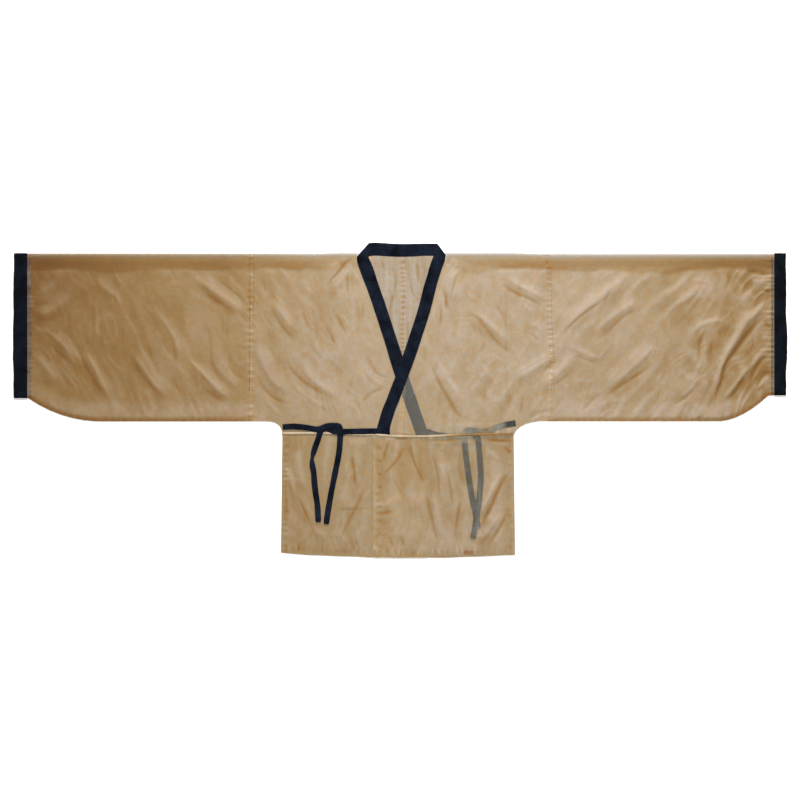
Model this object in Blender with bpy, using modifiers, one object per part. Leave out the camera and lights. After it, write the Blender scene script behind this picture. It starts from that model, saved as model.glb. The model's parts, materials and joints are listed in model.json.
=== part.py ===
"""Ru jacket of a ruqun hanfu, laid flat on a surface with its front up.

Every piece of cloth is a wall of its own. The back lies on the surface, the inner front and the
collar's inner end lie on the back, and the outer front lies over both. Lengths are in millimetres
and are turned into metres when a mesh is made. X runs along the sleeves, with the wearer's left at
+X, Y runs from the hem to the collar, and Z runs up from the surface.
"""
import math

import bmesh
import bpy

MM = 0.001

# Driving dimensions
CLOTH = 1.0            # wall of the gauze panels
BAND = 1.6             # wall of the doubled collar and cuffs
TIE = 1.0              # wall of a tie
TIE_WIDTH = 14.0
GAP = 0.3              # clearance at seams and between layers
HALF_SPAN = 950.0      # centre to the end of a cuff
SHOULDER_Y = 361.0     # fold along the shoulders and the tops of the sleeves
WAIST_Y = -85.0        # seam between body and waist skirt
HEM_Y = -387.4         # lowest point of the hem
HEM_X = 30.0           # where the hem is lowest
HEM_SAG = 1.15e-4      # how fast the hem rises away from there
CENTRE_X = 7.0         # centre back seam, and centre front seam of the inner front
FOLD_RADIUS = 1.4      # bend of the gauze at the shoulder fold, at the middle of the wall
CUFF_FOLD_RADIUS = 1.1
GRID = 18.0            # spacing of the points of the front layers
COARSE = 5             # the flat back layers have every fifth line of that grid
NECK_CLEAR = 0.6       # between the band and the body halves round the neck
NECK_LIFT = 0.02       # keeps the band's twisted turns off the surface

# The wearer's two sides. low_y is the seam under the sleeve. The flare is the sleeve's round lower
# corner, pulled towards flare_at. The arm is the round corner at the armpit, pulled towards arm_at
SIDES = {
    "right": {"join_x": -368.0, "cuff_x": -915.0, "cuff_low_y": 5.0, "low_y": -52.0,
              "flare_from": (-912.5, 4.5), "flare_at": (-822.0, -57.0), "flare_x": -716.0,
              "arm_x": -331.0, "arm_at": (-289.5, -51.5), "side_x": -289.0, "hem_x": -292.5},
    "left": {"join_x": 363.0, "cuff_x": 919.0, "cuff_low_y": 12.0, "low_y": -51.5,
             "flare_from": (904.6, 11.3), "flare_at": (830.0, -57.0), "flare_x": 770.0,
             "arm_x": 345.0, "arm_at": (290.0, -56.0), "side_x": 279.5, "hem_x": 283.0},
}

# Centre front seams, from their tops at the collar down to the waist
INNER_SEAM_TOP_Y = 0.0
OUTER_SEAM_TOP = (9.0, 30.0)
OUTER_SEAM_LOW_X = -2.0

# Free front edges of the two front panels of the waist skirt
OUTER_WAIST_EDGE = -66.0
INNER_WAIST_EDGE = 66.0

# The collar's two fronts, from the shoulder down: height, sewn edge, free edge
INNER_COLLAR = (
    # y, sewn_x, free_x
    (325.0, -100.5, -66.0),
    (305.0, -93.0, -59.4),
    (275.0, -81.0, -49.3),
    (216.0, -61.4, -29.5),
    (157.0, -41.7, -10.0),
    (98.0, -24.5, 9.0),
    (38.0, -6.5, 26.5),
    (-22.0, 16.0, 47.5),
    (WAIST_Y, 38.8, 70.0),
)
OUTER_COLLAR = (
    # y, sewn_x, free_x
    (325.0, 103.0, 71.5),
    (305.0, 97.0, 66.5),
    (275.0, 88.4, 57.5),
    (216.0, 73.0, 41.7),
    (157.0, 54.5, 23.0),
    (98.0, 34.4, 2.5),
    (38.0, 12.3, -19.0),
    (-22.0, -10.5, -42.5),
    (-63.0, -24.0, -55.5),
    (WAIST_Y, -25.0, -59.0),
)
# Where the strip is folded over at the shoulders: sewn end and free end of the fold,
# and the row just below it where the front part still lies on the back part
INNER_TURN = {"sewn": (-107.0, 352.0), "free": (-75.5, 387.4), "out": -1.0,
              "below": ((-106.0, 342.0), (-77.0, 349.5))}
OUTER_TURN = {"sewn": (113.0, 356.4), "free": (91.0, 385.5), "out": 1.0,
              "below": ((110.0, 343.0), (80.0, 349.0))}
TURN_RADIUS = BAND / 2 + GAP / 2
NECK_BACK = (
    # x, sewn_y, free_y
    (-62.0, 355.5, 387.3),
    (0.0, 352.5, 384.0),
    (62.0, 355.0, 384.8),
)

# Where a tie is sewn to the free edge of its collar end
OUTER_TIE_ROOT = (-83.5, -69.0)
INNER_TIE_ROOT = (-69.0, -84.0)

# Ties, along their middle. Layer 1 lies over layer 0, and the two cross twice in each half knot
TIE_SIDE_OUTER = (
    # x, y, layer
    (-287.0, -66.0, 0.0), (-262.0, -64.5, 0.0), (-235.0, -66.5, 0.0), (-218.0, -69.5, 0.0),
    (-206.5, -71.5, 1.0), (-196.0, -70.5, 1.0), (-186.0, -66.0, 1.0), (-176.0, -63.0, 1.0),
    (-166.0, -62.5, 1.0), (-155.0, -62.5, 1.0), (-149.3, -64.8, 0.6), (-147.0, -70.5, 0.0),
    (-146.6, -80.0, 0.0), (-147.0, -95.0, 0.0), (-148.5, -117.0, 0.0), (-151.9, -141.6, 0.0),
    (-158.8, -176.0, 0.0), (-167.7, -220.4, 0.0), (-173.8, -254.8, 0.0), (-179.0, -286.7, 0.0),
    (-180.8, -304.0, 0.0),
)
TIE_COLLAR_OUTER = (
    # x, y, layer
    (-58.4, -76.0, 0.0), (-90.0, -76.5, 0.0), (-127.0, -77.2, 0.0), (-139.0, -77.4, 1.0),
    (-147.0, -77.5, 1.0), (-154.8, -77.5, 1.0), (-162.5, -77.0, 0.0), (-171.0, -73.0, 0.0),
    (-179.0, -69.5, 0.0), (-187.0, -70.0, 0.0), (-193.5, -75.0, 0.0), (-197.5, -83.0, 0.0),
    (-201.5, -97.0, 0.0), (-208.9, -117.3, 0.0), (-215.5, -141.6, 0.0), (-215.3, -158.8, 0.0),
    (-212.0, -176.0, 0.0), (-209.9, -203.3, 0.0), (-207.5, -225.0, 0.0), (-203.0, -254.8, 0.0),
    (-201.3, -281.0, 0.0), (-200.3, -299.0, 0.0),
)
TIE_SIDE_INNER = (
    # x, y, layer
    (286.5, -58.0, 0.0), (270.0, -63.5, 0.0), (245.5, -70.5, 0.0), (225.8, -74.5, 0.0),
    (212.0, -75.5, 0.0), (201.0, -75.5, 1.0), (188.0, -74.5, 1.0), (177.0, -74.0, 1.0),
    (166.6, -74.0, 1.0), (160.9, -76.3, 0.6), (158.6, -82.0, 0.0), (158.8, -98.0, 0.0),
    (161.8, -136.2, 0.0), (167.7, -180.2, 0.0), (172.0, -210.0, 0.0), (174.6, -226.0, 0.0),
    (177.2, -241.0, 1.0), (183.5, -268.0, 1.0), (188.0, -290.0, 1.0), (191.5, -311.0, 1.0),
)
TIE_COLLAR_INNER = (
    # x, y, layer
    (70.4, -78.0, 0.0), (86.0, -84.0, 0.0), (113.0, -88.5, 0.0), (139.0, -89.3, 0.0),
    (150.5, -89.3, 1.0), (158.6, -89.2, 1.0), (166.3, -89.0, 1.0), (173.8, -88.0, 0.0),
    (181.0, -86.5, 0.0), (187.5, -88.5, 0.0), (191.5, -95.0, 0.0), (193.0, -106.0, 0.0),
    (195.2, -136.2, 0.0), (198.3, -180.2, 0.0), (197.0, -213.0, 0.0), (194.0, -245.0, 0.0),
    (188.0, -289.2, 0.0), (183.0, -318.6, 0.0), (179.2, -338.3, 0.0),
)

# The largest folds of the front layers, as soft ridges. Bow bends a ridge sideways at its middle
FOLDS = (
    # x0, y0, x1, y1, bow, half_width, rise
    (-501, 312, -373, 204, 4, 27, 6.0),
    (-859, 167, -781, 69, -6, 26, 6.0),
    (-908, 118, -840, 30, -6, 26, 5.5),
    (-778, 128, -709, 3, 4, 25, 6.0),
    (-660, 123, -560, -2, 4, 27, 6.0),
    (-614, 241, -530, 86, -4, 28, 5.0),
    (-515, 94, -412, 0, 4, 27, 6.0),
    (-461, 131, -388, 20, 6, 25, 5.0),
    (-908, 202, -805, 261, 8, 28, 4.5),
    (-749, 300, -682, 217, -4, 27, 4.0),
    (903, 283, 744, -4, 8, 31, 8.5),
    (889, 123, 781, -4, 6, 26, 6.5),
    (570, 310, 388, 158, 5, 30, 7.0),
    (589, 246, 466, 158, 4, 27, 5.0),
    (628, 136, 501, 20, 8, 28, 7.0),
    (798, 192, 702, 143, 6, 27, 4.0),
    (736, 64, 678, -4, 4, 25, 5.0),
    (437, 118, 351, 20, 4, 27, 5.5),
    (-312, 251, -253, 162, 3, 26, 5.0),
    (-255, 99, -147, 0, 8, 27, 4.5),
    (-353, 143, -265, 5, 8, 28, 5.5),
    (-122, 330, -190, 255, 5, 27, 4.5),
    (177, 207, 275, 123, -5, 27, 5.0),
    (253, 298, 358, 236, -5, 27, 5.0),
    (100, 86, 150, -29, 5, 27, 4.0),
    (282, 45, 383, 113, -4, 28, 5.5),
    (136, 325, 128, 234, 3, 26, 4.5),
    (258, -166, 196, -294, 6, 27, 6.0),
    (241, -274, 187, -358, 5, 25, 5.0),
    (98, -120, 130, -319, 8, 28, 4.0),
    (0, -110, 40, -294, 8, 28, 3.5),
    (-253, -122, -240, -220, 4, 25, 3.5),
    (-238, -250, -190, -345, 4, 25, 4.0),
)
FOLD_END = 0.28        # share of a ridge's length over which each end fades
EDGE_FADE = 38.0       # a ridge fades within this distance of a free edge
SHOULDER_FADE = 34.0   # and the roll along the shoulder fold ends within this distance
COVER_MARGIN = 26.0    # how far the outer front stays raised past what lies under it
COVER_FALL = 44.0      # and how softly it comes down from there

# Heights of a piece's underside
FRONT_LEVEL = CLOTH + GAP
NECK_LEVEL = BAND + GAP
COVER = {"collar": BAND + GAP, "tie": TIE + GAP, "knot": 2 * (TIE + GAP)}
INNER_KNOT = ((150.0, -80.0), (200.0, -80.0))
INNER_TAILS = ((177.0, -241.0), (191.0, -311.0))

# Colours as linear values, with roughness
FINISHES = {
    "gauze": ((0.46, 0.33, 0.19, 1.0), 0.75),
    "navy": ((0.009, 0.013, 0.022, 1.0), 0.85),
}


def smooth(t):
    """Rises softly from 0 to 1 as t does."""
    t = min(max(t, 0.0), 1.0)
    return t * t * (3 - 2 * t)


def bend(start, corner, end, steps=7):
    """Points along a round corner, a quadratic curve pulled towards its corner point."""
    points = []
    for step in range(steps + 1):
        t = step / steps
        a, b, c = (1 - t) ** 2, 2 * t * (1 - t), t * t
        points.append(tuple(a * p + b * q + c * r for p, q, r in zip(start, corner, end)))
    return points


def distance(x, y, path):
    """Shortest distance from a point to a line through the path's points."""
    best = float("inf")
    for (x0, y0, *_), (x1, y1, *_) in zip(path, path[1:]):
        dx, dy = x1 - x0, y1 - y0
        t = ((x - x0) * dx + (y - y0) * dy) / (dx * dx + dy * dy)
        t = min(max(t, 0.0), 1.0)
        best = min(best, math.hypot(x - x0 - t * dx, y - y0 - t * dy))
    return best


def along(table, column, y):
    """Reads a column of a table whose first column falls from row to row."""
    for above, below in zip(table, table[1:]):
        if y >= below[0]:
            t = (above[0] - y) / (above[0] - below[0])
            return above[column] + t * (below[column] - above[column])
    return table[-1][column]


def hem_y(x):
    return HEM_Y + HEM_SAG * (x - HEM_X) ** 2


def lower_edge(side):
    """The seam under a sleeve, from the cuff to the arm."""
    flare = bend(side["flare_from"], side["flare_at"], (side["flare_x"], side["low_y"]))
    return [(side["cuff_x"], side["cuff_low_y"])] + flare + [(side["join_x"], side["low_y"])]


def underarm(side):
    """The round corner from the arm to the waist."""
    return bend((side["arm_x"], side["low_y"]), side["arm_at"], (side["side_x"], WAIST_Y), 5)


def outer_seam_x(y):
    """The outer front's centre seam leans a little."""
    top_x, top_y = OUTER_SEAM_TOP
    return top_x + (OUTER_SEAM_LOW_X - top_x) * (top_y - y) / (top_y - WAIST_Y)


HEM = [(x, hem_y(x)) for x in range(-293, 284, 48)]
FREE_EDGES = [lower_edge(side) + underarm(side) for side in SIDES.values()]
FREE_EDGES += [[(s["side_x"], WAIST_Y), (s["hem_x"], hem_y(s["hem_x"]))] for s in SIDES.values()]
FREE_EDGES += [[(s["cuff_x"], s["cuff_low_y"]), (s["cuff_x"], SHOULDER_Y)] for s in SIDES.values()]
FREE_EDGES.append(HEM)
FREE_EDGES.append([(row[1], row[0]) for row in INNER_COLLAR])
FREE_EDGES.append([(row[1], row[0]) for row in OUTER_COLLAR])


def fold_rise(x, y):
    """Height that the large folds add to the front layers."""
    rise = 0.0
    for x0, y0, x1, y1, bow, half, height in FOLDS:
        dx, dy = x1 - x0, y1 - y0
        length = math.hypot(dx, dy)
        t = ((x - x0) * dx + (y - y0) * dy) / length ** 2
        if not 0.0 < t < 1.0:
            continue
        off = ((x - x0) * dy - (y - y0) * dx) / length - bow * 4 * t * (1 - t)
        if abs(off) < half:
            ends = smooth(t / FOLD_END) * smooth((1 - t) / FOLD_END)
            rise = max(rise, height * ends * math.cos(off / half * math.pi / 2) ** 2)
    if rise == 0.0:
        return 0.0
    room = min(distance(x, y, path) for path in FREE_EDGES)
    return rise * smooth(room / EDGE_FADE) * smooth((SHOULDER_Y - y) / SHOULDER_FADE)


def roll(y, base, radius):
    """The front layer stands up a little where it comes over the shoulder fold."""
    fold_y = SHOULDER_Y - CLOTH / 2 - radius
    return (2 * radius - base) * (1 - smooth((fold_y - y) / SHOULDER_FADE))


def covered(x, y):
    """How far the outer front is lifted by the inner front, the inner collar and the inner ties."""
    collar_edge = along(INNER_COLLAR, 2, y) if y > WAIST_Y else INNER_WAIST_EDGE
    lifts = [COVER["collar"] * (1 - smooth((x - collar_edge - COVER_MARGIN) / COVER_FALL))]
    tie_room = TIE_WIDTH / 2 + COVER_MARGIN
    for paths, lift in (((TIE_SIDE_INNER, TIE_COLLAR_INNER), COVER["tie"]),
                        ((INNER_KNOT, INNER_TAILS), COVER["knot"])):
        away = min(distance(x, y, path) for path in paths)
        lifts.append(lift * (1 - smooth((away - tie_room) / COVER_FALL)))
    return max(lifts)


def outer_level(x, y):
    """Underside of the outer front."""
    return FRONT_LEVEL + covered(x, y) + roll(y, FRONT_LEVEL, FOLD_RADIUS) + fold_rise(x, y)


def inner_level(x, y):
    """Underside of the inner front, which stays flat under the outer front and the outer ties."""
    clear = smooth((OUTER_WAIST_EDGE - TIE_WIDTH - x) / EDGE_FADE)
    for path in (TIE_SIDE_OUTER, TIE_COLLAR_OUTER):
        clear = min(clear, smooth((distance(x, y, path) - 1.5 * TIE_WIDTH) / EDGE_FADE))
    return FRONT_LEVEL + roll(y, FRONT_LEVEL, FOLD_RADIUS) + clear * fold_rise(x, y)


def sleeve_level(x, y):
    return FRONT_LEVEL + roll(y, FRONT_LEVEL, FOLD_RADIUS) + fold_rise(x, y)


def cuff_level(x, y):
    return NECK_LEVEL + roll(y, NECK_LEVEL, CUFF_FOLD_RADIUS)


def back_level(x, y):
    return 0.0


def give_finish(obj, finish_name):
    """A material of its own for a piece."""
    material = bpy.data.materials.new(obj.name + "_" + finish_name)
    material.use_nodes = True
    shader = material.node_tree.nodes["Principled BSDF"]
    colour, roughness = FINISHES[finish_name]
    shader.inputs["Base Color"].default_value = colour
    shader.inputs["Roughness"].default_value = roughness
    shader.inputs["Metallic"].default_value = 0.0
    obj.data.materials.append(material)


def make_wall(name, bm, wall, finish_name, collection):
    """Turns a laid surface into a solid wall of even thickness."""
    mesh = bpy.data.meshes.new(name)
    bm.to_mesh(mesh)
    bm.free()
    obj = bpy.data.objects.new(name, mesh)
    collection.objects.link(obj)
    solidify = obj.modifiers.new("wall", "SOLIDIFY")
    solidify.thickness = wall * MM
    solidify.offset = 0.0
    solidify.use_even_offset = True
    give_finish(obj, finish_name)


def cut_lines(bm, axis, place, keep):
    """Cuts the faces that keep() picks along one line of the grid."""
    faces = [face for face in bm.faces if keep(face.calc_center_median())]
    edges = {edge for face in faces for edge in face.edges}
    verts = {vert for face in faces for vert in face.verts}
    normal = (1, 0, 0) if axis == 0 else (0, 1, 0)
    centre = (place, 0, 0) if axis == 0 else (0, place, 0)
    bmesh.ops.bisect_plane(bm, geom=faces + list(edges) + list(verts), dist=1e-4,
                           plane_co=centre, plane_no=normal)


def flat_pattern(outline):
    """One face in the plane of the cloth, still in millimetres."""
    bm = bmesh.new()
    bm.faces.new([bm.verts.new((x, y, 0.0)) for x, y in outline])
    bmesh.ops.recalc_face_normals(bm, faces=bm.faces)
    return bm


def grid_steps(low, high):
    return range(math.ceil(low / GRID), math.floor(high / GRID) + 1)


def panel(name, outline, level, wall, finish_name, collection):
    """A panel that lies in one layer, from its outline as it lies."""
    bm = flat_pattern(outline)
    spacing = COARSE if level is back_level else 1
    for axis in (0, 1):
        reach = [point[axis] for point in outline]
        for step in grid_steps(min(reach), max(reach)):
            if step % spacing == 0:
                cut_lines(bm, axis, step * GRID, lambda centre: True)
    for vert in bm.verts:
        x, y, _ = vert.co
        vert.co = (x * MM, y * MM, (level(x, y) + wall / 2) * MM)
    make_wall(name, bm, wall, finish_name, collection)


def folded_panel(name, back, front, level, wall, radius, finish_name, collection):
    """A panel folded at the shoulder line, from the outlines of its two layers as they lie.

    The pattern is opened out flat: its second coordinate is the way along the cloth from the
    fold, negative on the back. back starts and front ends at the same end of the fold.
    """
    arc = radius * math.pi / 2
    fold_y = SHOULDER_Y - wall / 2 - radius
    outline = [(x, -(arc + fold_y - y)) for x, y in back] + [(x, arc + fold_y - y) for x, y in front]
    bm = flat_pattern(outline)
    for bend_line in (-arc, -arc / 2, 0.0, arc / 2, arc):
        cut_lines(bm, 1, bend_line, lambda centre: True)
    low_y = min(y for _, y in front)
    for step in grid_steps(low_y, fold_y):
        away = arc + fold_y - step * GRID
        cut_lines(bm, 1, away, lambda centre: centre.y > arc)
        if step % COARSE == 0:
            cut_lines(bm, 1, -away, lambda centre: centre.y < -arc)
    reach = [x for x, _ in back]
    for step in grid_steps(min(reach), max(reach)):
        fine = step % COARSE != 0
        cut_lines(bm, 0, step * GRID, lambda centre: centre.y > arc or not fine)
    for vert in bm.verts:
        x, way, _ = vert.co
        if abs(way) < arc:
            turn = way / radius
            y, z = fold_y + radius * math.cos(turn), radius + radius * math.sin(turn)
        else:
            y = fold_y - (abs(way) - arc)
            z = 0.0 if way < 0 else level(x, y)
        vert.co = (x * MM, y * MM, (z + wall / 2) * MM)
    make_wall(name, bm, wall, finish_name, collection)


def strip(name, rows, wall, finish_name, collection):
    """A band through rows of two edge points, each (x, y, z) at the middle of the wall."""
    bm = bmesh.new()
    bmesh.ops.create_grid(bm, x_segments=len(rows) - 1, y_segments=1, size=1.0)
    for vert in bm.verts:
        row = rows[round((vert.co.x + 1) / 2 * (len(rows) - 1))]
        vert.co = [value * MM for value in row[0 if vert.co.y < 0 else 1]]
    make_wall(name, bm, wall, finish_name, collection)


def shared(a, b, t):
    return tuple(p + t * (q - p) for p, q in zip(a, b))


def front_rows(table, turn, level):
    """Rows of one front of the collar, from the shoulder fold down to the waist."""
    rows = [tuple((x, y, NECK_LEVEL + BAND / 2) for x, y in turn["below"])]
    places = []
    for above, below in zip(table, table[1:]):
        steps = max(1, round((above[0] - below[0]) / GRID))
        places += [shared(above, below, step / steps) for step in range(steps)]
    places.append(table[-1])
    for y, *edges in places:
        rows.append(tuple((x, y, level(x, y) + BAND / 2) for x in edges))
    return rows


def turn_rows(turn):
    """Rows round the fold at a shoulder, from the front part over the fold to the back part."""
    (sewn_x, sewn_y), (free_x, free_y) = turn["sewn"], turn["free"]
    length = math.hypot(free_x - sewn_x, free_y - sewn_y)
    away = ((sewn_y - free_y) / length, (free_x - sewn_x) / length)
    if away[0] * turn["out"] < 0:
        away = (-away[0], -away[1])
    centre_z = BAND / 2 + NECK_LIFT + TURN_RADIUS
    rows = []
    for quarter in range(5):
        angle = math.pi / 2 - quarter * math.pi / 4
        shift = TURN_RADIUS * math.cos(angle) - TURN_RADIUS - BAND / 2
        z = centre_z + TURN_RADIUS * math.sin(angle)
        rows.append(tuple((x + away[0] * shift, y + away[1] * shift, z)
                          for x, y in (turn["sewn"], turn["free"])))
    return rows


def collar_level_inner(x, y):
    return FRONT_LEVEL


def collar_level_outer(x, y):
    return FRONT_LEVEL + covered(x, y)


def tie(name, path, base, collection, start_row=None):
    """A flat tie along its middle line. start_row sets its end where it is sewn in."""
    rows = []
    for index, (x, y, layer) in enumerate(path):
        before, after = path[max(index - 1, 0)], path[min(index + 1, len(path) - 1)]
        dx, dy = after[0] - before[0], after[1] - before[1]
        length = math.hypot(dx, dy)
        side = (-dy / length * TIE_WIDTH / 2, dx / length * TIE_WIDTH / 2)
        z = base + layer * (TIE + GAP) + TIE / 2
        rows.append(((x + side[0], y + side[1], z), (x - side[0], y - side[1], z)))
    if start_row:
        z = rows[0][0][2]
        rows[0] = tuple((x, y, z) for x, y in start_row)
    strip(name, rows, TIE, "navy", collection)


def make_body(collection):
    """The two body halves. Each is folded at the shoulder, with the neck cut out of it."""
    seam = GAP / 2
    half = SIDES["right"]
    neck_x = INNER_TURN["sewn"][0] - NECK_CLEAR
    join_x = half["join_x"] + seam
    arm = underarm(half)
    back = [(join_x, half["low_y"])] + arm + [(CENTRE_X - seam, WAIST_Y)]
    back += [(CENTRE_X - seam, NECK_BACK[1][1] - NECK_CLEAR)]
    back += [(NECK_BACK[0][0], NECK_BACK[0][1] - NECK_CLEAR)]
    back += [(neck_x, INNER_TURN["sewn"][1] - 2.5)]
    front = [(neck_x, INNER_TURN["below"][0][1])]
    front += [(sewn_x - GAP, y) for y, sewn_x, _ in INNER_COLLAR if sewn_x < CENTRE_X]
    front += [(CENTRE_X - seam, INNER_SEAM_TOP_Y), (CENTRE_X - seam, WAIST_Y)] + arm[::-1]
    front += [(join_x, half["low_y"])]
    folded_panel("panel_inner", back, front, inner_level, CLOTH, FOLD_RADIUS, "gauze", collection)

    half = SIDES["left"]
    neck_x = OUTER_TURN["sewn"][0] + NECK_CLEAR
    join_x = half["join_x"] - seam
    arm = underarm(half)
    back = [(join_x, half["low_y"])] + arm + [(CENTRE_X + seam, WAIST_Y)]
    back += [(CENTRE_X + seam, NECK_BACK[1][1] - NECK_CLEAR)]
    back += [(NECK_BACK[2][0], NECK_BACK[2][1] - NECK_CLEAR)]
    back += [(neck_x, OUTER_TURN["sewn"][1] - 2.5)]
    front = [(neck_x, OUTER_TURN["below"][0][1])]
    front += [(sewn_x + GAP, y) for y, sewn_x, _ in OUTER_COLLAR if y > OUTER_SEAM_TOP[1]]
    top_y = OUTER_SEAM_TOP[1] - 3.0
    front += [(outer_seam_x(top_y) + seam, top_y), (OUTER_SEAM_LOW_X + seam, WAIST_Y)] + arm[::-1]
    front += [(join_x, half["low_y"])]
    folded_panel("panel_outer", back, front, outer_level, CLOTH, FOLD_RADIUS, "gauze", collection)


def make_gores(collection):
    """Narrow triangles that carry the two fronts out to the collar."""
    seam = GAP / 2
    top_y = INNER_SEAM_TOP_Y - 1.5
    edge = [(along(INNER_COLLAR, 1, y) - GAP, y) for y in (top_y, -22.0, WAIST_Y)]
    outline = [(CENTRE_X + seam, WAIST_Y), (CENTRE_X + seam, top_y)] + edge
    panel("gore_inner", outline, inner_level, CLOTH, "gauze", collection)

    top_y = OUTER_SEAM_TOP[1] - 6.0
    edge = [(along(OUTER_COLLAR, 1, y) + GAP, y) for y in (top_y, -22.0, -63.0, WAIST_Y)]
    outline = [(outer_seam_x(WAIST_Y) - seam, WAIST_Y), (outer_seam_x(top_y) - seam, top_y)] + edge
    panel("gore_outer", outline, outer_level, CLOTH, "gauze", collection)


def make_sleeves(collection):
    """Each sleeve and each cuff is folded along its top and sewn underneath."""
    for name, side in SIDES.items():
        out = math.copysign(1.0, side["cuff_x"])
        edge = lower_edge(side)
        edge[0] = (edge[0][0] - out * GAP / 2, edge[0][1])
        edge[-1] = (edge[-1][0] + out * GAP / 2, edge[-1][1])
        folded_panel("sleeve_" + name, edge, edge[::-1], sleeve_level, CLOTH, FOLD_RADIUS,
                     "gauze", collection)
        ends = [(out * HALF_SPAN, side["cuff_low_y"]), (side["cuff_x"] + out * GAP / 2, side["cuff_low_y"])]
        folded_panel("cuff_" + name, ends, ends[::-1], cuff_level, BAND, CUFF_FOLD_RADIUS,
                     "navy", collection)


def make_waist(collection):
    """The waist skirt: a back and two fronts that overlap like the body's."""
    top_y = WAIST_Y - GAP
    right, left = SIDES["right"], SIDES["left"]

    def outline(low_x, high_x, top_low_x, top_high_x):
        steps = max(2, round((high_x - low_x) / (2 * GRID)))
        hem = [(low_x + (high_x - low_x) * step / steps) for step in range(steps + 1)]
        return [(top_high_x, top_y), (top_low_x, top_y)] + [(x, hem_y(x)) for x in hem]

    panel("waist_back", outline(right["hem_x"], left["hem_x"], right["side_x"], left["side_x"]),
          back_level, CLOTH, "gauze", collection)
    panel("waist_inner", outline(right["hem_x"], INNER_WAIST_EDGE, right["side_x"], INNER_WAIST_EDGE),
          inner_level, CLOTH, "gauze", collection)
    panel("waist_outer", outline(OUTER_WAIST_EDGE, left["hem_x"], OUTER_WAIST_EDGE, left["side_x"]),
          outer_level, CLOTH, "gauze", collection)


def make_collar(collection):
    """One doubled band, folded over at both shoulders, with its neck part lying inside out."""
    rows = front_rows(INNER_COLLAR, INNER_TURN, collar_level_inner)[::-1] + turn_rows(INNER_TURN)
    neck_z = BAND / 2 + NECK_LIFT
    rows += [((x, sewn_y, neck_z), (x, free_y, neck_z)) for x, sewn_y, free_y in NECK_BACK]
    rows += turn_rows(OUTER_TURN)[::-1] + front_rows(OUTER_COLLAR, OUTER_TURN, collar_level_outer)
    strip("collar", rows, BAND, "navy", collection)


def make_ties(collection):
    """Two pairs, each in a half knot: one on the inner front, one under the outer front."""
    on_front = FRONT_LEVEL + CLOTH + GAP
    collar_end = [(along(OUTER_COLLAR, 2, y) - GAP, y) for y in OUTER_TIE_ROOT]
    tie("tie_collar_outer", TIE_COLLAR_OUTER, on_front, collection, collar_end)
    tie("tie_side_outer", TIE_SIDE_OUTER, on_front, collection)
    collar_end = [(along(INNER_COLLAR, 2, y) + GAP, y) for y in INNER_TIE_ROOT]
    tie("tie_collar_inner", TIE_COLLAR_INNER, FRONT_LEVEL, collection, collar_end)
    tie("tie_side_inner", TIE_SIDE_INNER, FRONT_LEVEL, collection)


def main():
    for obj in list(bpy.data.objects):
        bpy.data.objects.remove(obj)
    collection = bpy.data.collections.new("ru_jacket")
    bpy.context.scene.collection.children.link(collection)
    make_body(collection)
    make_gores(collection)
    make_sleeves(collection)
    make_waist(collection)
    make_collar(collection)
    make_ties(collection)


main()
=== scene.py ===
# %% [markdown]
# # A ru jacket laid flat
# A ru is the short jacket of a ruqun. This one is sewn from thin, see-through tan gauze. The collar,
# the cuffs and the ties are plain navy cloth. It lies on a pale surface with its front up.
# The solids of the CAD model are walls a millimetre thick, with the cut and the largest folds. This
# lesson dresses them: each piece of cloth gets a fine mesh of its own, laid at the solid's height.

# %% Load the frame
import json
import math

import bpy
import numpy as np
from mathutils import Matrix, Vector
from mathutils.geometry import delaunay_2d_cdt

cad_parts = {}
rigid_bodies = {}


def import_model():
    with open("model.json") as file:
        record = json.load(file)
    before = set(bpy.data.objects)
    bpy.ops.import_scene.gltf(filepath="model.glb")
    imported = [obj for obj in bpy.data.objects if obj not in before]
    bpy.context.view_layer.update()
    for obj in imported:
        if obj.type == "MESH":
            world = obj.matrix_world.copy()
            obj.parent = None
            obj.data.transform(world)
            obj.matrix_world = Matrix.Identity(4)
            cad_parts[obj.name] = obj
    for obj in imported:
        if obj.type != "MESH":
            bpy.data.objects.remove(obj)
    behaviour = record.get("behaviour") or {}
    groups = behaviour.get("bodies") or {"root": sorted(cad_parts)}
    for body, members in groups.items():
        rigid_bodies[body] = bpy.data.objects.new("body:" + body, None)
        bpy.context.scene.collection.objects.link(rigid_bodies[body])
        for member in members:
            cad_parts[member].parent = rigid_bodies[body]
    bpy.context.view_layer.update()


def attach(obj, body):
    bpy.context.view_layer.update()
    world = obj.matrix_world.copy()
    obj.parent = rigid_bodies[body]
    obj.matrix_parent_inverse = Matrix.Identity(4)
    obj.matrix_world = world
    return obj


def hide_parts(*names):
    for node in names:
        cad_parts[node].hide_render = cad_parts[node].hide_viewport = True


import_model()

MM = 0.001

# %% [markdown]
# ## The camera
# The jacket was photographed from straight above. A long lens far up keeps the sleeves' ends from
# leaning outwards. The picture is 1.964 m wide at the height of the cloth.

# %% Camera
PICTURE_WIDTH = 1.964
LENS, SENSOR = 85.0, 36.0
CLOTH_HEIGHT = 0.003   # where the picture's width is taken
CAMERA_Y = 0.0005      # centres the jacket in the picture
FAR_END = 50.0

camera = bpy.data.objects.new("camera", bpy.data.cameras.new("camera"))
camera.data.lens, camera.data.sensor_width = LENS, SENSOR
camera.location = (0.0, CAMERA_Y, PICTURE_WIDTH * LENS / SENSOR + CLOTH_HEIGHT)
camera.data.clip_end = FAR_END
bpy.context.scene.collection.objects.link(camera)
bpy.context.scene.camera = camera
bpy.context.scene.view_settings.view_transform = "Standard"
print("camera height:", round(camera.location.z, 3), "m")

# %% [markdown]
# ## The cut
# The same lines as the solids have, in millimetres: where the collar is sewn on, where the sleeves
# join the body, and how the lower seams run. Every piece below is cut from these numbers.

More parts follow.
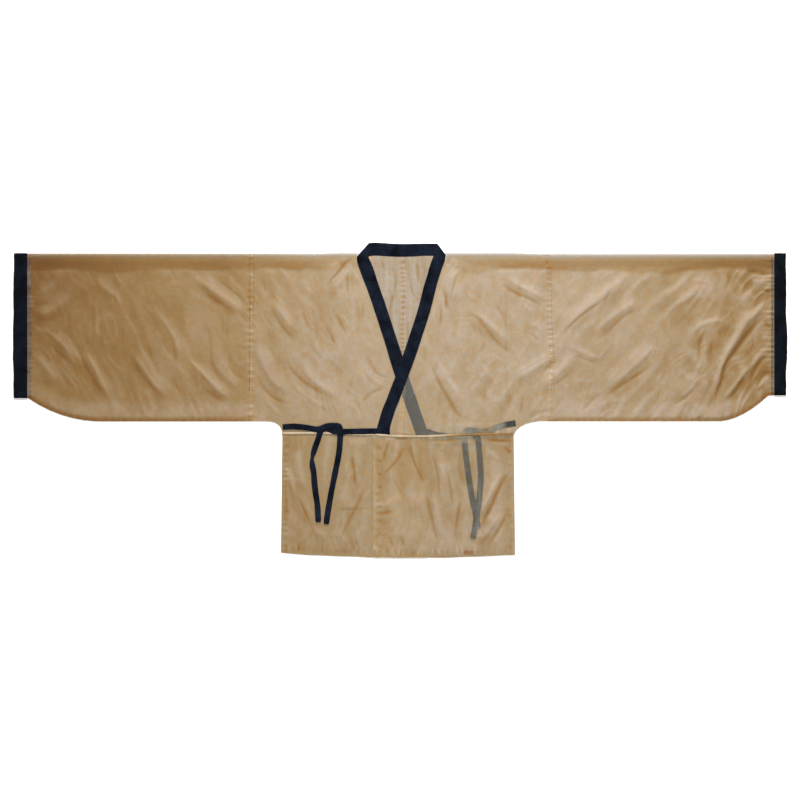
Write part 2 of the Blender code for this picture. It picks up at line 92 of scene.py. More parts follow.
# %% Layers and levels
CLOTH = 1.0            # wall of a gauze solid
BAND = 1.6             # wall of the collar and the cuffs
TIE = 1.0              # wall of a tie
TIE_WIDTH = 14.0
GAP = 0.3              # between neighbours
HALF_SPAN = 950.0
SHOULDER_Y = 361.0     # the fold along the shoulders and the sleeves' tops
JOIN_TOP = 355.0       # the seam of a sleeve is followed up to here
WAIST_Y = -85.0
HEM_LOW = (30.0, -387.4)
HEM_CURVE = 1.15e-4
CENTRE_X = 7.0         # the centre back seam
FOLD_RADIUS = 1.4
CUFF_FOLD_RADIUS = 1.1
FRONT_LEVEL = CLOTH + GAP
NECK_LEVEL = BAND + GAP
OUTER_SEAM_TOP = (9.0, 30.0)
OUTER_SEAM_LOW_X = -2.0
OUTER_WAIST_EDGE = -66.0
INNER_WAIST_EDGE = 66.0
print("span:", 2 * HALF_SPAN, "mm; shoulder to waist:", SHOULDER_Y - WAIST_Y, "mm")

# %% Measured places
SIDES = {
    "right": {"join_x": -368.0, "cuff_x": -915.0, "cuff_low_y": 5.0, "low_y": -52.0,
              "flare_from": (-912.5, 4.5), "flare_at": (-822.0, -57.0), "flare_x": -716.0,
              "arm_x": -331.0, "arm_at": (-289.5, -51.5), "side_x": -289.0, "hem_x": -292.5,
              "join": ((-368.0, 361.0), (-368.0, -52.0))},
    "left": {"join_x": 368.0, "cuff_x": 919.0, "cuff_low_y": 12.0, "low_y": -51.5,
             "flare_from": (904.6, 11.3), "flare_at": (830.0, -57.0), "flare_x": 770.0,
             "arm_x": 345.0, "arm_at": (290.0, -56.0), "side_x": 279.5, "hem_x": 283.0,
             "join": ((360.0, 361.0), (366.0, 300.0), (368.5, 190.0), (373.0, 108.0), (372.0, 40.0),
                      (368.0, -51.5))},
}
INNER_COLLAR = (  # y, sewn edge, free edge
    (325.0, -100.5, -66.0), (305.0, -93.0, -59.4), (275.0, -81.0, -49.3), (216.0, -61.4, -29.5),
    (157.0, -41.7, -10.0), (98.0, -24.5, 9.0), (38.0, -4.5, 28.0), (-22.0, 17.0, 49.0),
    (WAIST_Y, 38.8, 70.0),
)
OUTER_COLLAR = (
    (325.0, 103.0, 71.5), (305.0, 97.0, 66.5), (275.0, 88.4, 57.5), (216.0, 73.0, 41.7),
    (157.0, 54.5, 23.0), (98.0, 34.4, 2.5), (38.0, 12.3, -19.0), (-22.0, -10.5, -42.5),
    (-63.0, -24.0, -55.5), (WAIST_Y, -25.0, -59.0),
)
INNER_TURN = {"sewn": (-107.0, 352.0), "free": (-75.5, 387.4), "out": -1.0,
              "below": ((-106.0, 342.0), (-77.0, 349.5)), "fill": (4.4, 8.0)}
OUTER_TURN = {"sewn": (113.0, 356.4), "free": (91.0, 385.5), "out": 1.0,
              "below": ((110.0, 343.0), (80.0, 349.0)), "fill": (2.0, 4.5)}
NECK_BACK = ((-62.0, 355.5, 387.3), (0.0, 352.5, 384.0), (62.0, 355.0, 384.8))  # x, sewn y, free y
RIGHT, LEFT = SIDES["right"], SIDES["left"]
print("sleeve depth:", SHOULDER_Y - LEFT["low_y"], "mm; half chest:",
      LEFT["side_x"] - RIGHT["side_x"], "mm")

# %% Lines of the cut
def bend(start, corner, end, steps=7):
    """Points along a round corner, pulled towards its corner point."""
    shares = [step / steps for step in range(steps + 1)]
    return [tuple((1 - t) ** 2 * p + 2 * t * (1 - t) * q + t * t * r
                  for p, q, r in zip(start, corner, end)) for t in shares]


def hem_y(x):
    return HEM_LOW[1] + HEM_CURVE * (x - HEM_LOW[0]) ** 2


def lower_edge(side):
    """The seam under a sleeve, from the cuff to the arm."""
    flare = bend(side["flare_from"], side["flare_at"], (side["flare_x"], side["low_y"]))
    return [(side["cuff_x"], side["cuff_low_y"])] + flare + [(side["join_x"], side["low_y"])]


def join_upwards(side):
    """The seam between sleeve and body, from above its lower end to the shoulder fold."""
    return list(side["join"][-2:0:-1]) + [(side["join"][0][0], JOIN_TOP)]


def underarm(side):
    return bend((side["arm_x"], side["low_y"]), side["arm_at"], (side["side_x"], WAIST_Y), 5)


print("points round the right sleeve's lower end:", len(lower_edge(RIGHT)))

# %% Seams at any height
def read_across(table, column, y):
    """Reads a column of a collar table at some heights."""
    rows = np.array(table)[::-1]
    return np.interp(y, rows[:, 0], rows[:, column])


def outer_seam_x(y):
    top_x, top_y = OUTER_SEAM_TOP
    return top_x + (OUTER_SEAM_LOW_X - top_x) * (top_y - y) / (top_y - WAIST_Y)


sewn_x, free_x = (float(read_across(INNER_COLLAR, column, 0.0)) for column in (1, 2))
print("inner collar is", round(free_x - sewn_x, 1), "mm across")

# %% [markdown]
# ## Small helpers for shapes
# Numpy works on all points of a piece at once, which keeps fine meshes quick. `smooth` eases a value
# from 0 to 1, and `bell` is 1 on a line and fades beside it. `away_from` gives the distance to a line
# of points. `waves` is a seeded field of soft random hills, so that no two folds are alike and the
# result is the same on each run. `curve_through` draws a smooth line through a few measured points.

# %% Soft steps
def smooth(t):
    t = np.clip(t, 0.0, 1.0)
    return t * t * (3 - 2 * t)


def bell(off, width):
    return np.exp(-(off / width) ** 2)


print("halfway:", smooth(0.5), "and beside a line:", round(float(bell(1.0, 1.0)), 2))

# %% Distance to a line
def away_from(x, y, path):
    """Distance of points to a line, and the way along that line to the nearest place."""
    best = np.full(np.shape(x), np.inf)
    along = np.zeros(np.shape(x))
    gone = 0.0
    for (x0, y0), (x1, y1) in zip(path[:-1], path[1:]):
        dx, dy = x1 - x0, y1 - y0
        length = math.hypot(dx, dy)
        t = np.clip(((x - x0) * dx + (y - y0) * dy) / length ** 2, 0.0, 1.0)
        off = np.hypot(x - x0 - t * dx, y - y0 - t * dy)
        along = np.where(off < best, gone + t * length, along)
        best = np.minimum(best, off)
        gone += length
    return best, along


print("distance and way along:", *away_from(np.array([5.0]), np.array([3.0]), [(0.0, 0.0), (10.0, 0.0)]))

# %% Random hills
HILLS = 4096           # random heights that a field of hills draws from
STRIDES = (73, 179)    # steps through them along x and y
SHIFT = 500.0          # keeps the numbers of the hills above zero


def waves(x, y, size, seed):
    """Soft random hills about `size` apart, from -1 to 1. `size` is a pair for x and y."""
    u, v = np.asarray(x) / size[0] + SHIFT, np.asarray(y) / size[1] + SHIFT
    i, j = np.floor(u).astype(int), np.floor(v).astype(int)
    table = np.random.default_rng(seed).uniform(-1.0, 1.0, HILLS)

    def corner(di, dj):
        return table[((i + di) * STRIDES[0] + (j + dj) * STRIDES[1]) % HILLS]

    a, b = smooth(u - i), smooth(v - j)
    low = corner(0, 0) * (1 - a) + corner(1, 0) * a
    high = corner(0, 1) * (1 - a) + corner(1, 1) * a
    return low * (1 - b) + high * b


def waves_along(way, size, seed):
    """The same hills in one direction only, as along a seam."""
    return waves(way, 0 * way, (size, 1.0), seed)


print("four hills:", waves_along(np.arange(4.0), 1.0, 1).round(2))

# %% A smooth line
def curve_through(points, step):
    """A smooth line through a few points, with a point every `step` or so."""
    p = np.array(points, dtype=float)
    ends = np.vstack([2 * p[0] - p[1], p, 2 * p[-1] - p[-2]])
    line = []
    for a, b, c, d in zip(ends, ends[1:], ends[2:], ends[3:]):
        count = max(1, int(round(np.hypot(*(c - b)[:2]) / step)))
        for k in range(count):
            t = k / count
            line.append(0.5 * (2 * b + (c - a) * t + (2 * a - 5 * b + 4 * c - d) * t ** 2
                               + (3 * b - a - 3 * c + d) * t ** 3))
    line.append(p[-1])
    return np.array(line)


print("points on a line with one corner:", len(curve_through([(0, 0), (10, 0), (10, 10)], 2.0)))

# %% [markdown]
# ## The folds
# A sheer cotton keeps the creases of its handling: long soft ridges from the arms, short ones into
# the seams. Two tables hold them. `FOLDS` are the large ridges that the solids have as well.
# `CREASES` are the finer ones: a ridge has a positive rise, a hollow a negative one. A table that
# lists them one by one follows the real cloth, which a simulation would crumple in its own way.

# %% Large folds
FOLDS = (  # x0, y0, x1, y1, bow, half width, rise
    (-501, 312, -373, 204, 4, 27, 6.0), (-859, 167, -781, 69, -6, 26, 6.0),
    (-908, 118, -840, 30, -6, 26, 5.5), (-778, 128, -709, 3, 4, 25, 6.0),
    (-660, 123, -560, -2, 4, 27, 6.0), (-614, 241, -530, 86, -4, 28, 5.0),
    (-515, 94, -412, 0, 4, 27, 6.0), (-461, 131, -388, 20, 6, 25, 5.0),
    (-908, 202, -805, 261, 8, 28, 4.5), (-749, 300, -682, 217, -4, 27, 4.0),
    (903, 283, 744, -4, 8, 31, 8.5), (889, 123, 781, -4, 6, 26, 6.5),
    (570, 310, 388, 158, 5, 30, 7.0), (589, 246, 466, 158, 4, 27, 5.0),
    (628, 136, 501, 20, 8, 28, 7.0), (798, 192, 702, 143, 6, 27, 4.0),
    (736, 64, 678, -4, 4, 25, 5.0), (437, 118, 351, 20, 4, 27, 5.5),
    (-312, 251, -253, 162, 3, 26, 5.0), (-255, 99, -147, 0, 8, 27, 4.5),
    (-353, 143, -265, 5, 8, 28, 5.5), (-122, 330, -190, 255, 5, 27, 4.5),
    (177, 207, 275, 123, -5, 27, 5.0), (253, 298, 358, 236, -5, 27, 5.0),
    (100, 86, 150, -29, 5, 27, 4.0), (282, 45, 383, 113, -4, 28, 5.5),
    (136, 325, 128, 234, 3, 26, 4.5), (258, -166, 196, -294, 6, 27, 6.0),
    (241, -274, 187, -358, 5, 25, 5.0), (98, -120, 130, -319, 8, 28, 4.0),
    (0, -110, 40, -294, 8, 28, 3.5), (-253, -122, -240, -220, 4, 25, 3.5),
    (-238, -250, -190, -345, 4, 25, 4.0),
)
FOLD_END = 0.28        # share of a fold's length over which each end fades
FOLD_SHARE = 0.5       # the finer creases add the rest of the height


def fold_rise(x, y):
    """Height of the large folds, in millimetres."""
    rise = np.zeros(np.shape(x))
    for x0, y0, x1, y1, bow, half, height in FOLDS:
        dx, dy = x1 - x0, y1 - y0
        length = math.hypot(dx, dy)
        t = ((x - x0) * dx + (y - y0) * dy) / length ** 2
        off = ((x - x0) * dy - (y - y0) * dx) / length - bow * 4 * t * (1 - t)
        near = (t > 0) & (t < 1) & (np.abs(off) < half)
        ends = smooth(t / FOLD_END) * smooth((1 - t) / FOLD_END)
        ridge = FOLD_SHARE * height * ends * np.cos(off / half * math.pi / 2) ** 2
        rise = np.maximum(rise, np.where(near, ridge, 0.0))
    return rise


print("large folds:", len(FOLDS), "highest:", FOLD_SHARE * max(fold[-1] for fold in FOLDS), "mm")

# %% Fine creases
CREASES = (  # rise, half width, then the points along the crease
    # right sleeve, from its end to the join
    (2.2, 14, -511, 315, -491, 295, -454, 266, -412, 239, -373, 207),
    (-2, 10, -501, 290, -474, 261, -437, 234, -393, 202), (1.6, 11, -432, 315, -405, 285, -373, 253),
    (-1.8, 8, -452, 305, -427, 280, -393, 251, -371, 224), (-1.6, 14, -486, 261, -462, 246, -430, 231),
    (1.8, 14, -913, 172, -871, 170, -842, 150, -815, 123, -781, 91),
    (-1.6, 9, -869, 145, -840, 116, -810, 89), (1.2, 14, -908, 118, -884, 99, -859, 69, -840, 35),
    (-1, 7, -840, 74, -820, 45, -800, 20), (1, 7, -827, 74, -805, 45, -786, 20),
    (-1, 7, -810, 62, -790, 30), (2, 11, -776, 128, -751, 84, -732, 45, -707, -4),
    (-2, 9, -788, 113, -766, 72, -741, 30, -714, -9), (1.2, 11, -727, 118, -700, 86, -673, 69),
    (-0.9, 12, -707, 136, -692, 118), (2, 13, -660, 123, -638, 91, -614, 54, -584, 20, -560, 0),
    (-2, 9, -663, 113, -641, 72, -609, 30, -574, -7),
    (1.7, 13, -614, 251, -589, 207, -562, 170, -545, 128, -540, 69),
    (-1.4, 8, -628, 231, -604, 192, -589, 158), (-1.5, 8, -570, 172, -555, 123, -550, 64),
    (-1.3, 8, -560, 59, -545, 25, -535, 5), (2, 14, -520, 104, -496, 79, -464, 45, -432, 15, -403, -4),
    (-2.2, 14, -491, 30, -462, 13, -427, -7), (-1.6, 10, -501, 84, -486, 59, -466, 30),
    (1.6, 13, -471, 118, -452, 86, -420, 50, -388, 20),
    (-1.7, 9, -484, 202, -469, 160, -464, 109, -452, 64, -417, 20),
    (1.6, 16, -410, 123, -403, 94, -376, 79), (-1.5, 8, -422, 109, -415, 74, -393, 54, -371, 52),
    (1.2, 13, -749, 300, -717, 271, -695, 251, -682, 217), (-1.6, 9, -707, 266, -700, 246, -690, 224),
    (-1.2, 7, -756, 256, -754, 172, -756, 109), (1, 5, -747, 246, -745, 148),
    (-1.2, 7, -739, 256, -734, 172, -736, 104), (-1.4, 14, -908, 236, -879, 234, -854, 241),
    (1.2, 14, -908, 212, -864, 217, -835, 236, -805, 261), (-1.4, 12, -903, 192, -864, 197, -835, 204),
    (1, 14, -903, 256, -871, 271, -835, 295), (1, 13, -815, 305, -790, 285, -766, 266),
    (0.9, 11, -702, 310, -682, 280), (0.9, 13, -594, 268, -552, 288, -516, 266),
    (1, 11, -511, 266, -486, 241), (-0.9, 6, -437, 221, -437, 128), (-0.9, 6, -426, 221, -425, 118),
    (-1.5, 9, -393, 221, -383, 197, -368, 187), (-1.3, 8, -403, 136, -385, 126, -368, 123),
    (-1, 7, -619, 133, -609, 99), (-0.9, 7, -525, 59, -511, 30), (-0.8, 8, -835, 118, -805, 84),
    (0.9, 16, -552, 217, -520, 192, -496, 148),
    # left sleeve, from its end to the join
    (3.2, 16, 908, 283, 881, 224, 849, 192, 822, 148, 800, 111, 783, 62, 766, 25, 746, 0),
    (-3.2, 11, 908, 217, 871, 182, 844, 148, 820, 116, 798, 84, 788, 40, 771, 5, 751, -17),
    (2, 14, 864, 94, 837, 57, 813, 25, 783, -7), (-1.8, 9, 852, 67, 832, 32, 800, -9),
    (1.6, 13, 911, 136, 879, 109, 857, 72), (1.4, 11, 911, 62, 884, 35, 871, 18),
    (-2, 8, 913, 111, 889, 99, 869, 69, 859, 32), (-1.6, 8, 911, 77, 891, 57, 874, 30),
    (1.8, 14, 803, 194, 766, 194, 732, 180, 707, 153),
    (-1.8, 8, 756, 172, 741, 155, 734, 118, 736, 84), (1.4, 11, 754, 148, 749, 111, 751, 74),
    (-1.2, 7, 766, 143, 763, 99), (1.6, 13, 739, 67, 717, 32, 687, 0),
    (-1.6, 9, 719, 30, 702, 8, 673, -12), (2.4, 14, 631, 153, 609, 118, 579, 89, 545, 57, 501, 23),
    (-2.6, 9, 626, 99, 601, 74, 570, 52, 530, 27, 491, 0), (-1.4, 10, 491, 20, 466, -9, 442, -34),
    (1.2, 7, 643, 69, 626, 35), (1.3, 9, 655, 25, 646, -9), (-1.4, 9, 646, 40, 631, -4),
    (1.8, 14, 597, 256, 560, 231, 520, 204, 491, 180, 469, 158),
    (-1.8, 9, 592, 231, 550, 204, 513, 170, 496, 148),
    (2.4, 18, 574, 315, 540, 293, 501, 263, 462, 229, 422, 194, 388, 158),
    (-2.6, 9, 516, 256, 476, 229, 442, 204, 412, 175, 388, 140),
    (-1.5, 8, 520, 271, 506, 246, 506, 221), (1.3, 13, 400, 148, 437, 123, 486, 104, 508, 118),
    (-1.2, 8, 491, 89, 466, 94, 430, 109), (1.8, 16, 425, 116, 400, 79, 366, 50, 346, 20),
    (-1.4, 9, 417, 69, 393, 45, 363, 30), (1, 16, 589, 0, 516, -4, 454, -27),
    (-0.9, 4, 665, 217, 668, 109), (0.9, 4, 663, 89, 712, 118), (-1.2, 12, 385, 334, 417, 322),
    (-1.6, 12, 648, 320, 724, 325, 810, 349), (-1.3, 8, 471, 50, 457, -9),
    (-1.8, 14, 847, 320, 884, 310, 913, 305), (1.6, 13, 854, 295, 889, 290, 913, 300),
    (-1.2, 8, 889, 271, 911, 263), (1, 11, 712, 288, 736, 295, 761, 285),
    (-0.8, 8, 700, 275, 712, 256), (1, 14, 847, 266, 871, 246), (-1.2, 8, 894, 185, 913, 177),
    (-0.9, 6, 869, 158, 864, 123), (0.9, 11, 528, 99, 535, 148),
    # inner half of the body
    (1.2, 13, -245, 305, -216, 253), (1.7, 13, -309, 251, -292, 217, -270, 185, -250, 163),
    (-2, 9, -322, 241, -304, 202, -282, 170, -253, 140),
    (-2, 9, -282, 113, -268, 77, -238, 45, -196, 18, -157, -4),
    (1.8, 14, -250, 104, -221, 57, -177, 25, -147, 5),
    (1.6, 14, -285, 79, -258, 37, -216, 0, -172, -29),
    (-2.4, 11, -358, 74, -336, 30, -302, 0, -255, -14),
    (1.8, 14, -356, 148, -339, 99, -314, 50, -270, 13), (-2.2, 10, -115, 354, -142, 322, -174, 285),
    (1.6, 13, -113, 334, -142, 295, -177, 263), (-2.4, 6, -128, 317, -130, 285, -128, 251),
    (-0.8, 5, -118, 307, -118, 246), (1.2, 9, -103, 339, -108, 283),
    (-2.6, 6, -110, 352, -137, 332, -152, 312, -169, 293, -182, 275),
    (1.5, 9, -133, 354, -157, 334, -177, 310), (-2, 6, -155, 212, -147, 192, -137, 170, -133, 150),
    (-1.8, 5, -93, 239, -91, 219, -93, 192), (-1.5, 6, -169, 150, -157, 136),
    (-1.3, 6, -206, 177, -204, 138), (1.3, 7, -140, 214, -125, 172), (-1.2, 8, -184, 185, -160, 136),
    (-1.5, 8, -160, 217, -140, 163), (-1.6, 8, -86, 128, -69, 79, -47, 59, -17, 54),
    (1.5, 11, -93, 109, -79, 64, -49, 40, -15, 35), (-1.8, 9, -101, -14, -66, 18, -27, 32),
    (1, 13, -147, 0, -98, -29), (1.1, 11, -339, 13, -307, -24, -275, -49),
    (1.1, 9, -245, 13, -214, -24), (1, 9, -196, 148, -172, 104, -137, 74),
    (-0.9, 7, -221, 136, -191, 94), (1.1, 11, -314, 339, -282, 307, -255, 271),
    (-1.2, 8, -339, 295, -324, 256), (0.9, 11, -172, 246, -152, 217), (-1.2, 8, -245, 221, -221, 172),
    (-1.2, 8, -324, 136, -304, 94), (1, 9, -123, 185, -98, 136),
    (-2, 9, -287, -54, -245, -57, -172, -57, -130, -54), (1.1, 9, -135, 37, -108, 10),
    (-1, 8, -201, -12, -172, -36), (0.9, 9, -83, 197, -59, 136),
    # outer half of the body
    (-2.4, 10, 123, 352, 115, 327), (-2.6, 6, 147, 320, 135, 288, 128, 263, 125, 236),
    (1.4, 11, 147, 325, 115, 283), (-2.4, 6, 106, 275, 110, 253, 113, 234, 113, 214),
    (-1.8, 5, 101, 224, 101, 202, 98, 180), (1.3, 8, 155, 300, 147, 266, 142, 234),
    (-1.8, 7, 110, 278, 115, 214), (-1.8, 8, 101, 236, 96, 167), (1, 9, 83, 246, 79, 172),
    (-2, 9, 147, 199, 179, 207, 204, 182, 243, 136, 285, 109),
    (1.6, 13, 167, 217, 201, 204, 233, 175, 270, 140), (-1.2, 8, 228, 246, 253, 202, 265, 160),
    (-2, 9, 243, 290, 280, 263, 319, 246, 358, 224), (1.7, 13, 255, 305, 295, 280, 331, 263, 366, 241),
    (1, 11, 290, 241, 336, 212), (-1.8, 12, 191, 334, 245, 327, 319, 329),
    (-2.4, 10, 59, 113, 79, 77, 98, 37, 118, 3, 145, -39, 184, -51),
    (1.5, 11, 79, 118, 98, 84, 123, 40, 152, 0), (1.8, 14, 280, 47, 319, 72, 356, 96, 383, 113),
    (-1.8, 9, 351, 69, 383, 99), (-2, 12, 314, -49, 344, -31, 378, -27),
    (1.5, 13, 356, 18, 334, -12, 314, -39), (-1.6, 7, 302, 18, 297, -41), (-1, 8, 98, 118, 86, 62),
    (0.8, 11, 245, 13, 221, -12), (-0.9, 5, 260, 339, 260, 136, 263, -39), (0.9, 4, 270, 59, 376, 121),
    (1.2, 13, 196, 86, 226, 54, 245, 25), (-1, 8, 182, 69, 206, 35), (1.2, 13, 319, 192, 349, 172),
    (-1.1, 8, 314, 167, 344, 143), (1, 11, 160, 271, 184, 241), (-0.9, 8, 209, 148, 196, 109),
    # waist skirt
    (-2, 7, -255, -230, -236, -270, -216, -314, -199, -358),
    (1.6, 14, -236, -240, -209, -294, -182, -348), (1.5, 13, -290, -142, -270, -191, -253, -238),
    (-2, 7, -120, -130, -113, -176, -108, -225),
    (-1.6, 7, -79, -206, -108, -265, -135, -319, -150, -358),
    (1.2, 14, -253, -117, -238, -191, -226, -240), (1, 14, -182, -117, -182, -245),
    (1.3, 11, -137, -135, -130, -196), (-1, 6, -164, -270, -61, -267), (1, 9, -98, -245, -69, -220),
    (-2.8, 8, 280, -169, 260, -189, 241, -223, 223, -265, 206, -297, 187, -346),
    (2, 11, 258, -166, 233, -206, 209, -255, 194, -292), (1.6, 13, 245, -277, 218, -316, 191, -355),
    (-2.2, 7, 265, -274, 241, -321, 216, -358), (-2, 6, 25, -93, 29, -137, 49, -186, 64, -216),
    (-1.8, 6, -22, -93, -37, -132, -44, -162), (1.3, 11, -5, -98, -15, -152),
    (-2, 7, 59, -216, 76, -284, 93, -360), (1.4, 11, 76, -220, 93, -282, 108, -355),
    (-1.8, 6, 79, -130, 93, -191, 96, -250), (-1.8, 6, 113, -166, 125, -225, 130, -274),
    (1.2, 9, 98, -152, 110, -196), (-1.8, 7, 150, -240, 140, -294, 133, -348),
    (-1.3, 8, -61, -282, -12, -274), (-1.3, 7, -29, -331, -17, -363), (-1.3, 7, 0, -331, 10, -363),
    (1.2, 16, -74, -262, -37, -257, 0, -233), (-1.1, 6, -56, -117, -44, -122),
    (-1.1, 6, -56, -149, -42, -154), (-1.1, 6, -56, -181, -42, -186), (-1.1, 6, -56, -213, -42, -218),
    (-1.1, 6, -56, -260, -42, -265), (-1.1, 6, -56, -294, -42, -299), (-1.1, 6, -56, -328, -42, -333),
    (-0.9, 6, -56, -358, -42, -363), (-1, 6, -285, -112, -270, -117), (-1, 6, -285, -159, -270, -166),
    (-1, 6, -285, -206, -270, -213), (-1, 6, -285, -270, -270, -277),
    (-0.9, 6, 69, -98, 110, -101, 142, -100), (-2.2, 7, 201, -98, 245, -101, 280, -100),
    (-1.2, 6, -17, -93, 25, -98), (-1.6, 6, 12, -108, -2, -142, -27, -171, -49, -191),
    (-1.5, 8, 253, -112, 275, -135), (1.2, 11, 221, -122, 245, -152),
)
print("creases:", len(CREASES), "of which hollows:", sum(row[0] < 0 for row in CREASES))

# %% The creases as one field
CREASE_STEP = 12.0     # between the points along a crease
CREASE_END = 0.35      # share of its length over which each end fades
CREASE_RISE = 0.85     # share of the rise in the table
BODY, CREST = 0.64, 0.36   # widths of a crease's soft body and sharp crest, in half widths
CREST_SHARE = 0.45
# creases also paint colour: painted shade in hollows, painted highlight on ridges
FULL_TONE = 2.3        # the rise that gives the full colour of a ridge or a hollow


def crease_lines(rows, step):
    return [(rise, half, curve_through(np.reshape(points, (-1, 2)), step))
            for rise, half, *points in rows]


CREASE_LINES = crease_lines(CREASES, CREASE_STEP)


def crease_field(x, y):
    """Height of the fine creases, with painted shade in hollows (+) and painted highlight on ridges (-).
    """
    rise, painted_shading = np.zeros(np.shape(x)), np.zeros(np.shape(x))
    for height, half, line in CREASE_LINES:
        low, high = line.min(axis=0) - half, line.max(axis=0) + half
        near = (x > low[0]) & (x < high[0]) & (y > low[1]) & (y < high[1])
        if not near.any():
            continue
        off, along = away_from(x[near], y[near], line)
        t = along / max(along.max(), 1.0)
        ends = smooth(t / CREASE_END) * smooth((1 - t) / CREASE_END)
        body, crest = bell(off, BODY * half), bell(off, CREST * half)
        rise[near] += CREASE_RISE * height * ends * ((1 - CREST_SHARE) * body + CREST_SHARE * crest)
        painted_shading[near] -= height / FULL_TONE * ends * (body + crest) / 2
    return rise, painted_shading


print("longest crease:", max(len(line) for _, _, line in CREASE_LINES), "points")

# %% Crumples
# middle and reach in x, below the waist or not, lean in degrees, spacing, length, rise, seed
CRUMPLES = (
    (-700, 400, 0, -60, 36, 150, 2, 101), (-700, 400, 0, -68, 17, 60, 1.2, 102),
    (-700, 400, 0, -74, 10, 30, 0.6, 109),
    (-190, 240, 0, -70, 32, 120, 2.9, 103), (-190, 240, 0, -80, 15, 60, 1.9, 104),
    (-190, 240, 0, -66, 10, 30, 0.7, 110),
    (160, 240, 0, -114, 34, 120, 2.7, 105), (160, 240, 0, -96, 15, 60, 1.6, 106),
    (160, 240, 0, -110, 10, 30, 0.7, 111),
    (680, 400, 0, -130, 38, 150, 2.3, 107), (680, 400, 0, -120, 17, 60, 1.3, 108),
    (680, 400, 0, -128, 10, 30, 0.6, 112),
    (0, 400, 1, -84, 30, 170, 1.9, 113), (0, 400, 1, -96, 14, 80, 1.4, 114),
    (0, 400, 1, -90, 9, 40, 0.7, 115),
)


BENDS, BEND_SIZE = 30.0, (140.0, 140.0)   # how far the ridges stray from straight
SHAKE, SHAKE_SIZE = 6.0, (34.0, 34.0)
PATCHES = (120.0, 90.0)                    # size of calmer and more crumpled patches
CRUMPLE_SHARE = 0.8    # share of the rise in the table


def crumple_field(x, y):
    """Low sharp ridges of crumpled cloth, which lean with the pull of each part."""
    rise = np.zeros(np.shape(x))
    share = np.zeros(np.shape(x)) + 1e-6
    below = smooth((WAIST_Y + 7.0 - y) / 14.0)
    for middle_x, reach, waist, lean, spacing, length, height, seed in CRUMPLES:
        weight = np.exp(-((x - middle_x) / reach) ** 4) * (below if waist else 1 - below)
        angle = math.radians(lean)
        bent_x = x + BENDS * waves(x, y, BEND_SIZE, seed + 20)
        bent_x = bent_x + SHAKE * waves(x, y, SHAKE_SIZE, seed + 30)
        bent_y = y + BENDS * waves(x, y, BEND_SIZE, seed + 40)
        along = bent_x * math.cos(angle) + bent_y * math.sin(angle)
        across = -bent_x * math.sin(angle) + bent_y * math.cos(angle)
        ridge = smooth(1 - 1.25 * np.abs(waves(along, across, (length, spacing), seed)))
        patchy = 0.6 + 0.5 * waves(x, y, PATCHES, seed + 50)
        rise += weight * height * ridge * np.clip(patchy, 0.3, 1.1)
        share += weight / 3
    return CRUMPLE_SHARE * rise / np.maximum(share, 0.6)


print("crumple sizes:", len(CRUMPLES), "for", len({row[0] for row in CRUMPLES}), "parts")

# %% [markdown]
# ## Seams, hems and puckers
# A running stitch draws thin cloth together, so small ridges stand at right angles to each seam. The
# turned-in edge makes an extra layer, which looks denser. Each row below is a seam with the spacing,
# the reach and the rise of its puckers. `DOUBLED` lists where cloth is turned in.

# %% Seams
HEM_LINE = [(x, hem_y(x)) for x in range(-293, 284, 48)]
HEM_STITCHES = [(x, y + 13.0) for x, y in HEM_LINE]
OUTER_WAIST_STITCHES = [(OUTER_WAIST_EDGE + 11.0, -90.0), (OUTER_WAIST_EDGE + 11.0, -384.0)]
SIDE_RIGHT_STITCHES = [(RIGHT["side_x"] + 9.0, -92.0), (RIGHT["hem_x"] + 11.0, -372.0)]
SIDE_LEFT_STITCHES = [(LEFT["side_x"] - 9.0, -92.0), (LEFT["hem_x"] - 11.0, -378.0)]
FRONT_SEAM = [OUTER_SEAM_TOP, (OUTER_SEAM_LOW_X, WAIST_Y)]
WAIST_SEAM_INNER = [(-290.0, -81.0), (-201.0, -80.5), (-120.0, -83.0), (-60.0, -84.5)]
WAIST_SEAM_OUTER = [(-60.0, -84.5), (0.0, -87.9), (73.6, -87.9), (147.0, -84.7), (277.0, -82.2)]
LOWER_SEAMS = (lower_edge(RIGHT), lower_edge(LEFT))
print("height of the hem's ends, mm:", *(round(HEM_LINE[end][1], 1) for end in (0, -1)))

# %% Puckers and turned-in edges
PUCKERS = (  # seam, spacing, reach, rise
    (RIGHT["join"], 17.0, 9.0, 1.0),
    (LEFT["join"], 14.0, 8.0, 0.9),
    ([(RIGHT["cuff_x"] + 5.0, y) for y in (SHOULDER_Y, RIGHT["cuff_low_y"])], 12.0, 12.0, 0.6),
    ([(LEFT["cuff_x"] - 4.0, y) for y in (SHOULDER_Y, LEFT["cuff_low_y"])], 13.0, 22.0, 1.3),
    (HEM_STITCHES, 16.0, 8.0, 0.8),
    (OUTER_WAIST_STITCHES, 17.0, 7.0, 0.5),
    (SIDE_RIGHT_STITCHES, 15.0, 7.0, 0.6),
    (SIDE_LEFT_STITCHES, 17.0, 6.0, 0.4),
    (FRONT_SEAM, 11.0, 7.0, 0.5),
    (WAIST_SEAM_INNER + WAIST_SEAM_OUTER[1:], 16.0, 13.0, 0.6),
    (LOWER_SEAMS[0], 19.0, 10.0, 0.5),
    (LOWER_SEAMS[1], 19.0, 10.0, 0.5),
)
DOUBLED = (  # edge, how far the turned-in cloth reaches
    (HEM_LINE, 15.0),
    ([(OUTER_WAIST_EDGE, WAIST_Y), (OUTER_WAIST_EDGE, -390.0)], 14.0),
    ([(RIGHT["side_x"], WAIST_Y), (RIGHT["hem_x"], -390.0)], 12.0),
    ([(LEFT["side_x"], WAIST_Y), (LEFT["hem_x"], -390.0)], 8.0),
    ([(x + 3.0, y) for x, y in RIGHT["join"]], 2.5),
    ([(x - 3.0, y) for x, y in LEFT["join"]], 2.5),
    (FRONT_SEAM, 4.0),
)
